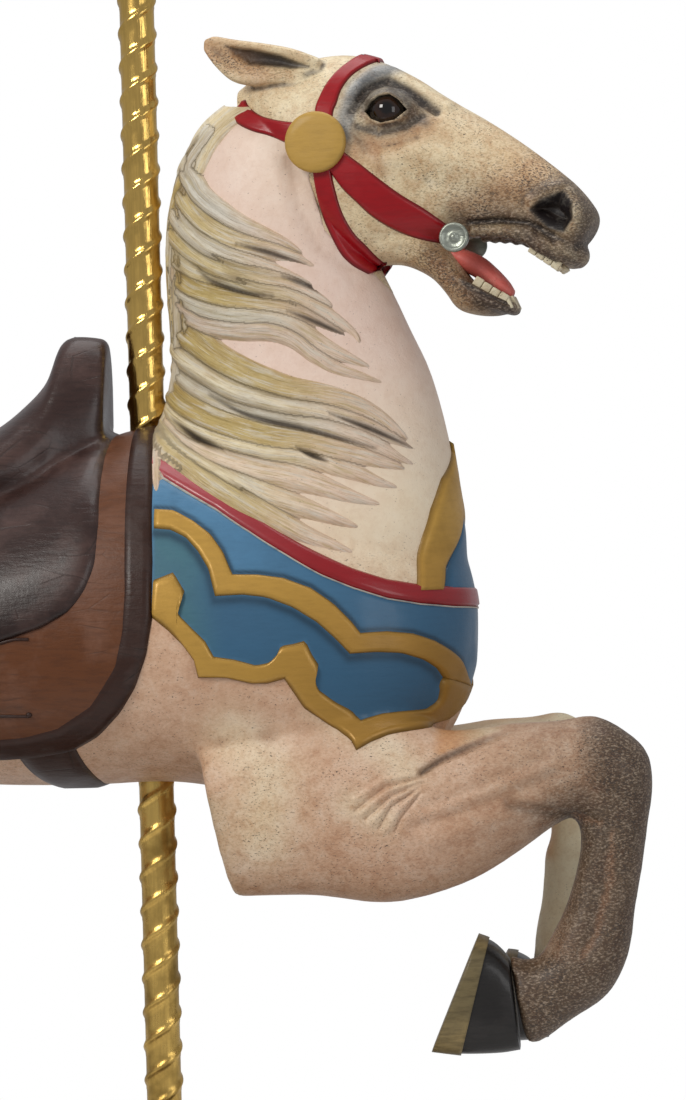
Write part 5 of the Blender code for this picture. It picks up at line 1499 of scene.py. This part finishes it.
red_top = [(FRONT, 87.7)] + round_chest(RED_TOP)[::-1]
red_low = [(FRONT, 85.2)] + round_chest(RED_LOW)[::-1]
line_low = [(a, z - 0.22) for a, z in red_low]
field_low = round_chest([(x, z + 0.7) for run in LOWER_OUT for x, z in run])
field_low = [(FRONT, 73.0)] + field_low[::-1]
GILT_COLUMNS = 9
both_scrolls = []
for side in (1, -1):
    for outer, inner in ((UPPER_OUT, UPPER_IN), (LOWER_IN, LOWER_OUT)):
        first = [other_side(round_chest(run), side) for run in outer]
        second = [other_side(round_chest(run), side) for run in inner]
        both_scrolls.append(chest_piece(first, second, 22, GILT_COLUMNS, 0.62, 0.14))
shield_left = [(FRONT, 106.4)] + round_chest(SHIELD_LEFT)
shield_right = [(FRONT, 102.6)] + round_chest(SHIELD_RIGHT)
red_mesh = chest_piece([red_top], [red_low], 120, 7, 0.42, 0.16, True)
line_mesh = chest_piece([red_low], [line_low], 120, 4, 0.30, 0.3, True)
field_mesh = chest_piece([red_low], [field_low], 200, 60, 0.16, 0.03, True)
shield_gold = [chest_piece([other_side(shield_left, side)], [other_side(shield_right, side)], 40,
                           GILT_COLUMNS,
                           0.5, 0.14) for side in (1, -1)]
shield_field = chest_piece([shield_right], [other_side(shield_right, -1)], 40, 13, 0.2, 0.03)
for name, mesh, mat in (("collar_binding", red_mesh, band_paint), ("collar_line", line_mesh, line_paint),
                        ("collar_field", field_mesh, blue_paint),
                        ("collar_scrolls", join(both_scrolls), gilt_paint),
                        ("shield_gilt", join(shield_gold), gilt_paint),
                        ("shield_field", shield_field, blue_paint)):
    spots = points_of(mesh)
    shade = np.ones((len(spots), 3))
    x, flat = spots[:, 0], spots[:, [0, 2]]
    if mat is blue_paint:
        # Painted shade: the blue deepens from the lit back of the collar towards the front of the chest.
        shade = mix(all_over(BLUE, len(spots)), DEEP_BLUE, 0.15 + step(x, 4, 34) * 0.75)
        panel = [spot for run in UPPER_IN for spot in run]
        panel += [spot for run in LOWER_IN[::-1] for spot in run[::-1]]
        within = inside(flat, panel)
        shade = mix(shade, DEEP_BLUE, 0.75 * step(within, -0.4, 0.4))
        shade = mix(shade, TEAL, step(12 - x, 0, 6) * step(within, -0.4, 0.4) * 0.75)
        shadow = np.minimum.reduce([line_distance(flat + [0.0, 0.5], run) for run in UPPER_IN])
        shade = mix(shade, DEEP_BLUE * 0.35, 0.8 * np.exp(-(shadow / 0.55) ** 2) * step(within, -0.6, 0.1))
        rim = np.minimum.reduce([line_distance(flat - [0.0, 0.25], run) for run in UPPER_OUT])
        shade = mix(shade, DEEP_BLUE * 0.25, 0.85 * np.exp(-(rim / 0.28) ** 2))
    if mat is gilt_paint:
        # Painted shade: the gilt is darkened low and towards the front of the chest.
        low_front_shade = step(x, 2, 40) * step(99 - spots[:, 2], 0, 22)
        shade = mix(shade, shade * np.array([0.62, 0.55, 0.44]), low_front_shade)
    if mat is band_paint:
        # The binding is paler at its back end and deeper red towards the front.
        shade = mix(all_over(BAND_PALE, len(spots)), BAND_RED, step(x, 3, 24))
    # Painted shade on the gilt pieces' edges.
    paint_mesh(mesh, shade, edge_shade_mask(len(spots), GILT_COLUMNS) if mat is gilt_paint else None)
    smooth(mesh)
    made = add(name, metric(mesh))
    mesh.materials.append(mat)
    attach(made, "root")
    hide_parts("carved_horse")

# Saddle and blanket. The saddle is carved in the back with a high narrow pommel and long flaps,
# stained dark brown under varnish. The red-brown blanket has a near-black border and two thin cords
# in relief, the lower one ending in a knob; a girth strap crosses the belly behind the forelegs.

SADDLE_BROWN, SADDLE_WORN, SADDLE_DARK = tone("35231F"), tone("5A423C"), tone("140C0A")
BLANKET_BROWN, BORDER_BROWN = tone("60361A"), tone("331C13")
BLANKET_EDGE = [(1.9, 109.5), (2.4, 98.2), (2.7, 91.9), (2.6, 85.3), (1.7, 80.7), (0.2, 76.9), (-1.9, 73.8),
                (-5.0, 70.8), (-8.6, 68.9), (-12.5, 68.3), (-20, 68.0), (-30, 68.6), (-40, 71.5), (-47.5, 78),
                (-50.6, 86), (-51.2, 95), (-51.2, 102)]
BORDER_EDGE = [(-1.5, 109.5), (-1.3, 98.3), (-1.1, 88.6), (-1.4, 83.9), (-2.4, 79.7), (-5.7, 75.1),
               (-10.1, 72.5),
               (-14.4, 71.5), (-22, 71.2), (-30, 71.8), (-38.5, 74.6), (-44.8, 80), (-47.4, 87), (-47.8, 95),
               (-47.8, 102)]
FLAP_FRONT = [(-2.6, 112.5), (-3.0, 109.9), (-3.6, 105.0), (-3.7, 99.9), (-3.6, 96.4), (-4.0, 91.4),
              (-5.3, 88.4),
              (-7.3, 86.0), (-10.7, 84.2), (-16.1, 82.6), (-20.0, 82.2)]
FLAP_BACK = [(-41, 112.5), (-42, 108), (-42.6, 104), (-42, 99), (-40, 94), (-37.5, 90.5), (-34.5, 87.5),
             (-31, 85), (-27, 83.2), (-24.0, 82.5), (-21.0, 82.3)]
BACK_AXIS = 86.0


def back_point(x, angle):
    """The skin round the barrel: angle is from straight up, over to the decorated side."""
    way = Vector((0.0, -math.sin(angle), math.cos(angle)))
    return skin.ray_cast(Vector((x, 0.0, BACK_AXIS)), way)[0]


def back_angle(x, z):
    """How far round from straight up a side-view point lies on the barrel."""
    return angle_at(lambda angle: back_point(x, angle), 2, z, 175)


def back_piece(first, second, rows, count, rise, bevel):
    """An inlay round the barrel between two edges given as (x, angle) runs."""
    flat = paired([first], [second], rows, count, (1.0, 20.0))
    spots = np.array([[back_point(x, a) for x, a in row] for row in flat], dtype=float)
    hint = spots - np.array([0, 0, BACK_AXIS])
    hint[..., 0] = 0
    return inlay(spots, hint, strap_profile(count, rise, bevel))


def round_back(line):
    return [(x, back_angle(x, z)) for x, z in line]


def both_ways(first, second, *rest):
    """The same inlay on both sides of the barrel."""
    return [back_piece([(x, side * a) for x, a in first], [(x, side * a) for x, a in second], *rest)
            for side in (1, -1)]


low_edge = []
line = np.array(BLANKET_EDGE[2:])
for x in np.linspace(1.5, -51.0, 60):
    z = np.interp(-x, -line[:, 0], line[:, 1])
    low_edge.append((x, back_angle(x, z + 0.4)))
blanket = back_piece([(x, -a) for x, a in low_edge], low_edge, 110, 61, 0.5, 0.01)
border = both_ways(round_back(BLANKET_EDGE) + [(-50.6, 0.0)], round_back(BORDER_EDGE) + [(-47.2, 0.0)],
                   150, 7, 0.72, 0.16)
flaps = both_ways(round_back(FLAP_FRONT), round_back(FLAP_BACK), 60, 26, 1.35, 0.05)
seat = loft([
    (-4.6, 119.6, -5.2, 105, 4.2), (-5.0, 120.6, -5.8, 100, 6.0, 0.1), (-10.2, 120.7, -11, 98, 8.2, 0.25),
    (-12.3, 115.7, -14, 98, 10.0, 0.25), (-15.2, 112.4, -17, 98, 11.6, 0.2),
    (-19.5, 109.2, -20, 98, 13.0, 0.15),
    (-26, 106.8, -26, 98, 14.2, 0.1), (-32, 106.8, -32, 98, 14.4, 0.1), (-37, 109.2, -36.5, 98, 13.8, 0.15),
    (-41.5, 113.6, -40, 99, 12.8, 0.1), (-44.2, 114.6, -43, 101, 11.4, 0.1), (-45.6, 112.6, -45.6, 103, 8.0),
], around=56)
saddle = fuse([seat] + flaps, 0.45)
relax(saddle, 10)
first = round_back([(-8.3, 70.2), (-7.7, 68.0), (-6.9, 66.0), (-6.2, 64.6)]) + [(-6.0, math.pi)]
second = round_back([(-15.6, 69.0), (-14.8, 67.0), (-13.8, 65.4), (-12.9, 64.4)]) + [(-12.7, math.pi)]
girth = both_ways(first, second, 30, 11, 0.45, 0.2)

cloth = tree_over(blanket, points_of(blanket))
CORD_LINES = [[(-19.0, 82.2), (-16.6, 82.5), (-14.4, 83.0), (-12.6, 83.0)],
              [(-20.0, 73.7), (-16.0, 73.6), (-13.2, 73.5)]]
CORD_RADIUS, KNOB_RADIUS, KNOB_PLACE = 0.20, 0.38, (-13.1, 73.7)
cords = []
for side in (-1, 1):
    for line in CORD_LINES:
        spots = cast_side([cloth], flow(line, 4)[None], side)[0]
        cords.append(roll([(x, y + side * 0.05, z, CORD_RADIUS) for x, y, z in spots], 2, 10))
    knob = cast_side([cloth], np.array([[KNOB_PLACE]]), side)[0, 0]
    cords.append(ball(*knob, KNOB_RADIUS))

saddle_varnish = soft_gloss("saddle_varnish", SADDLE_BROWN, SADDLE_WORN, SADDLE_DARK, 0.32, 0.22,
                            0.0008, 0.0, 0.5, 0.3)
blanket_paint = soft_gloss("blanket_brown", BLANKET_BROWN, tone("7F5A48"), tone("3B2012"), 0.42, 0.10,
                           0.0009, 0.0, 0.4, 0.3)
border_paint = soft_gloss("border_brown", BORDER_BROWN, tone("4F433F"), tone("1E120D"), 0.40, 0.06,
                          0.0009, 0.0, 0.7, 0.3)
for name, mesh, mat in (("saddle", saddle, saddle_varnish), ("saddle_blanket", blanket, blanket_paint),
                        ("blanket_border", join(border), border_paint), ("girth", join(girth), border_paint),
                        ("blanket_cords", join(cords), border_paint)):
    height = points_of(mesh)[:, 2]
    shade = np.ones((len(height), 3))
    # Painted shade: the saddle is darkened towards the bottom.
    if mat is saddle_varnish:
        shade = mix(shade, np.array([0.55, 0.50, 0.46]), step(99 - height, 0, 12))
    # Painted light: the blanket is lightened towards its top.
    if mat is blanket_paint:
        shade = mix(shade, np.array([1.30, 1.45, 1.9]), step(height, 90, 102))
    paint_mesh(mesh, shade)
    smooth(mesh)
    made = add(name, metric(mesh))
    mesh.materials.clear()
    mesh.materials.append(mat)
    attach(made, "root")
    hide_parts("carved_horse")

# Hooves. Each is a blunt black cone with a paler olive-brown shoe left standing at its edge, carved
# in one with the leg. The wall has faint upright grain.

HOOF_BLACK, SHOE_OLIVE = tone("1C1917"), tone("6E6142")
FORE_HOOF = [(45.8, 31.0, 44.7, 42.0, 5.1), (43.8, 30.7, 43.9, 43.0, 5.4), (41.6, 30.6, 43.2, 43.7, 5.6),
             (39.2, 30.6, 42.5, 44.2, 5.8), (37.7, 30.7, 42.0, 44.4, 5.9)]
FORE_SHOE = [(38.5, 30.4, 42.3, 44.6, 6.05), (37.0, 30.6, 41.8, 44.8, 6.15), (34.9, 30.9, 41.0, 45.1, 6.1)]
LEFT_HOOF = [(49.0, 29.2, 47.2, 38.6, 5.1), (46.8, 28.9, 46.6, 39.2, 5.4), (44.6, 28.8, 46.0, 39.6, 5.6),
             (42.2, 28.7, 45.4, 39.9, 5.8), (41.0, 28.8, 45.1, 40.0, 5.9)]
LEFT_SHOE = [(41.8, 28.5, 45.3, 40.2, 6.05), (40.2, 28.7, 44.8, 40.3, 6.15), (38.2, 29.2, 44.0, 40.4, 6.1)]
HIND_HOOF = [(-77.8, 25.2, -87.0, 29.6, 4.8), (-77.6, 21.2, -88.3, 27.4, 5.4),
             (-77.8, 18.8, -89.1, 25.6, 5.8)]
HIND_SHOE = [(-77.5, 19.4, -89.0, 26.0, 6.0), (-77.7, 18.0, -89.3, 25.0, 6.1),
             (-78.2, 16.6, -89.6, 23.6, 6.0)]
hoof_meshes, shoe_meshes = [], []
for side in (-1, 1):
    for ribs, target in ((LEFT_HOOF if side > 0 else FORE_HOOF, hoof_meshes),
                         (LEFT_SHOE if side > 0 else FORE_SHOE, shoe_meshes)):
        target.append(loft(ribs, side * LEG_SPREAD, 4, 48, square=0.62))
    for ribs, target in ((HIND_HOOF, hoof_meshes), (HIND_SHOE, shoe_meshes)):
        target.append(loft(hind_ribs(ribs, side), side * LEG_SPREAD, 4, 48, square=0.7))
hoof_paint = soft_gloss("hoof_black", HOOF_BLACK, HOOF_BLACK * 2.2, HOOF_BLACK * 0.4, 0.4, 0.3, 0.001)
shoe_paint = soft_gloss("shoe_olive", SHOE_OLIVE, tone("9A8558"), tone("3A301C"), 0.5, 0.15, 0.001)
for name, meshes, mat in (("hooves", hoof_meshes, hoof_paint), ("shoes", shoe_meshes, shoe_paint)):
    mesh = join(meshes)
    paint_mesh(mesh, np.ones((len(mesh.vertices), 3)))
    mesh.polygons.foreach_set("use_smooth", [len(p.vertices) == 4 for p in mesh.polygons])
    made = add(name, metric(mesh))
    mesh.materials.append(mat)
    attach(made, "root")
    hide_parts("carved_horse")

# Pole, foot and finial. A brass sleeve rolled with a two-start twist over a steel core: flat lands
# between narrow rolled ridges, bright above the horse and duller below it. A plain turned flange
# holds its foot, and a turned cap its top.

POLE_RADIUS = 0.025
POLE_LEAD = 0.086
POLE_DEPTH = 0.0030
POLE_LOW, POLE_TOP = 0.0203, 1.9
POLE_PLAIN_LOW, POLE_PLAIN_TOP = 0.0737, 0.024
# The twist fades in and out over this much of the pole; the rings stand this far apart
POLE_FADE, POLE_STEP = 0.016, 0.0026


def pole_mesh():
    """The twisted bar: plain at both ends, with two narrow ridges that wind up it."""
    around = 56
    turn = np.arange(around) * math.tau / around
    low_end, high_end = POLE_LOW + POLE_PLAIN_LOW, POLE_TOP - POLE_PLAIN_TOP
    heights = np.concatenate([[POLE_LOW], np.arange(low_end, high_end, POLE_STEP), [POLE_TOP]])
    rings = []
    for z in heights:
        twisted = step(z, low_end, low_end + POLE_FADE) * step(high_end - z, 0, POLE_FADE)
        phase = ((turn - math.tau * z / POLE_LEAD) / math.pi) % 1.0
        ridge = np.exp(-(np.minimum(phase, 1 - phase) / 0.11) ** 2)
        lip = np.exp(-((phase - 0.22) / 0.05) ** 2) * 0.18
        radius = POLE_RADIUS - POLE_DEPTH * twisted * (1 - np.clip(ridge + lip, 0, 1))
        rings.append(np.column_stack([radius * np.cos(turn), radius * np.sin(turn), np.full(around, z)]))
    return outward(grid_mesh(rings))


def brass_material(name, worn):
    """Drawn brass, bright above the horse and clouded with tarnish below it."""
    made, tree, shader = new_material(name)
    spot = object_place(tree)
    drawn = noise(tree, stretched(tree, spot, (6.0, 6.0, 0.35)), 60.0, 4.0, 0.6)
    cloud = noise(tree, spot, 22.0, 5.0, 0.6)
    height = node(tree, "ShaderNodeSeparateXYZ", {0: spot}).outputs[2]
    low = span(tree, height, 0.72, 0.60)
    most = maths(tree, "ADD", times(tree, low, 0.5), worn)
    tarnish = times(tree, span(tree, cloud, 0.42, 0.66), most)
    colour = blend_colour(tree, tarnish, (0.80, 0.53, 0.15), (0.26, 0.16, 0.04))
    colour = blend_colour(tree, span(tree, drawn, 0.35, 0.65, 0.0, 0.35), colour, (0.42, 0.27, 0.08))
    tree.links.new(colour, shader.inputs["Base Color"])
    shader.inputs["Metallic"].default_value = 1.0
    tree.links.new(maths(tree, "ADD", span(tree, cloud, 0.3, 0.7, 0.10, 0.22), times(tree, low, 0.14)),
                   shader.inputs["Roughness"])
    bumped(tree, shader, drawn, 0.0004)
    return made


brass = brass_material("pole_brass", 0.25)
finial_mesh = turned_piece([
    (0.0, 1.952), (0.010, 1.9505), (0.0165, 1.9455), (0.0208, 1.938), (0.0216, 1.931), (0.0196, 1.9235),
    (0.0168, 1.918), (0.0164, 1.9145), (0.0182, 1.912), (0.0250, 1.9085), (0.0302, 1.905), (0.0310, 1.9015),
    (0.0310, 1.888), (0.0296, 1.885), (0.0256, 1.884), (0.0256, 1.9003), (0.0, 1.9003)], 64)
flange_mesh = turned_piece([
    (0.0256, 0.0843), (0.0325, 0.0843), (0.0336, 0.0820), (0.0340, 0.0680), (0.0360, 0.0640),
                            (0.0430, 0.0610),
    (0.0560, 0.0585), (0.0700, 0.0572), (0.0744, 0.0555), (0.0750, 0.0530), (0.0750, 0.0503),
                            (0.0256, 0.0503),
    (0.0256, 0.0843)], 72)
for name, mesh, target in (("pole", pole_mesh(), "twisted_brass_pole"),
                           ("finial", finial_mesh, "pole_finial"),
                           ("flange", flange_mesh, "pole_flange")):
    smooth(mesh)
    made = add(name, mesh)
    mesh.materials.append(brass)
    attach(made, "root")
    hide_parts(target)

# Stand. A low disc of dark stained hardwood with a small stepped moulding round its edge, bored
# for the pole's foot.

base_mesh = turned_piece([
    (0.0253, 0.0500), (0.345, 0.0500), (0.349, 0.0492), (0.3525, 0.0465), (0.356, 0.0420), (0.359, 0.0390),
    (0.364, 0.0372), (0.370, 0.0350), (0.3735, 0.0338), (0.3768, 0.0300), (0.3792, 0.0250), (0.3800, 0.0200),
    (0.3800, 0.0030), (0.3785, 0.0008), (0.3765, 0.0), (0.0, 0.0), (0.0, 0.0200), (0.0253, 0.0200),
    (0.0253, 0.0500)], 128)
wood, tree, shader = new_material("stand_wood")
spot = object_place(tree)
grain_map = stretched(tree, spot, (1.0, 11.0, 11.0))
grain = noise(tree, grain_map, 5.0, 6.0, 0.6, 0.6)
pores = noise(tree, grain_map, 60.0, 3.0, 0.6)
colour = blend_colour(tree, span(tree, grain, 0.35, 0.65), (0.052, 0.024, 0.012), (0.115, 0.055, 0.026))
colour = blend_colour(tree, span(tree, pores, 0.58, 0.72, 0.0, 0.7), colour, (0.02, 0.01, 0.006))
tree.links.new(colour, shader.inputs["Base Color"])
tree.links.new(span(tree, grain, 0.3, 0.7, 0.30, 0.45), shader.inputs["Roughness"])
shader.inputs["Coat Weight"].default_value = 0.3
bumped(tree, shader, maths(tree, "ADD", grain, pores), 0.0004)
smooth(base_mesh)
made = add("stand", base_mesh)
base_mesh.materials.append(wood)
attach(made, "root")
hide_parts("display_base")

# Stage. A pale floor, three soft studio lights and a white backdrop, with the camera where the
# photograph was taken from: level, a little round to the front, and rolled by the pole's lean.

CAMERA_AIM = Vector((0.246, 0.0, 0.929))
CAMERA_DISTANCE = 4.5
CAMERA_AZIMUTH = math.radians(4.0)
PHOTO_HEIGHT, POLE_DRIFT, METRES_PER_PIXEL = 1100.0, 28.0, 0.00127
CAMERA_ROLL = math.atan2(POLE_DRIFT, PHOTO_HEIGHT)
SENSOR = 36.0
FLOOR_RADIUS, FLOOR_CORNERS = 1.25, 96
back = Vector((math.sin(CAMERA_AZIMUTH), -math.cos(CAMERA_AZIMUTH), 0.0))
camera_data = bpy.data.cameras.new("camera")
camera_data.sensor_width = SENSOR
camera_data.lens = SENSOR * CAMERA_DISTANCE / (PHOTO_HEIGHT * METRES_PER_PIXEL)
camera = bpy.data.objects.new("camera", camera_data)
scene.collection.objects.link(camera)
camera.matrix_world = Matrix.Translation(CAMERA_AIM + back * CAMERA_DISTANCE) @ (
    back.to_track_quat("Z", "Y").to_matrix() @ Matrix.Rotation(-CAMERA_ROLL, 3, "Z")).to_4x4()
scene.camera = camera

floor_mesh = bpy.data.meshes.new("floor")
turns = [math.tau * i / FLOOR_CORNERS for i in range(FLOOR_CORNERS)]
floor_mesh.from_pydata([(FLOOR_RADIUS * math.cos(turn), FLOOR_RADIUS * math.sin(turn),
                         0.0) for turn in turns],
                       [], [range(FLOOR_CORNERS)])
floor = add("floor", floor_mesh)
floor_mat, tree, shader = new_material("floor")
shader.inputs["Base Color"].default_value = (0.82, 0.82, 0.82, 1.0)
shader.inputs["Roughness"].default_value = 0.7
floor_mesh.materials.append(floor_mat)


def area_light(name, place, aim, size, power, colour=(1.0, 1.0, 1.0)):
    data = bpy.data.lights.new(name, "AREA")
    data.shape = "RECTANGLE"
    data.size, data.size_y = size
    data.energy = power
    data.color = colour
    made = bpy.data.objects.new(name, data)
    scene.collection.objects.link(made)
    made.location = place
    made.rotation_euler = (Vector(aim) - Vector(place)).to_track_quat("-Z", "Y").to_euler()


area_light("key", (-2.2, -3.4, 3.4), (0.1, 0, 1.0), (1.5, 1.5), 112, (1.0, 0.97, 0.92))
area_light("fill", (3.2, -3.0, 1.6), (0.2, 0, 0.9), (1.4, 2.4), 24)
area_light("top", (0.3, 0.3, 3.6), (0.2, 0, 1.0), (2.4, 1.6), 30)

world = bpy.data.worlds.new("studio")
scene.world = world
world.use_nodes = True
tree = world.node_tree
tree.nodes.clear()
path = node(tree, "ShaderNodeLightPath").outputs["Is Camera Ray"]
seen = node(tree, "ShaderNodeBackground", {"Color": (1.0, 1.0, 1.0, 1.0), "Strength": 1.0})
lit = node(tree, "ShaderNodeBackground", {"Color": (0.97, 0.97, 1.0, 1.0), "Strength": 0.42})
both = node(tree, "ShaderNodeMixShader", {0: path, 1: lit.outputs[0], 2: seen.outputs[0]})
node(tree, "ShaderNodeOutputWorld", {"Surface": both.outputs[0]})
scene.view_settings.view_transform = "Standard"
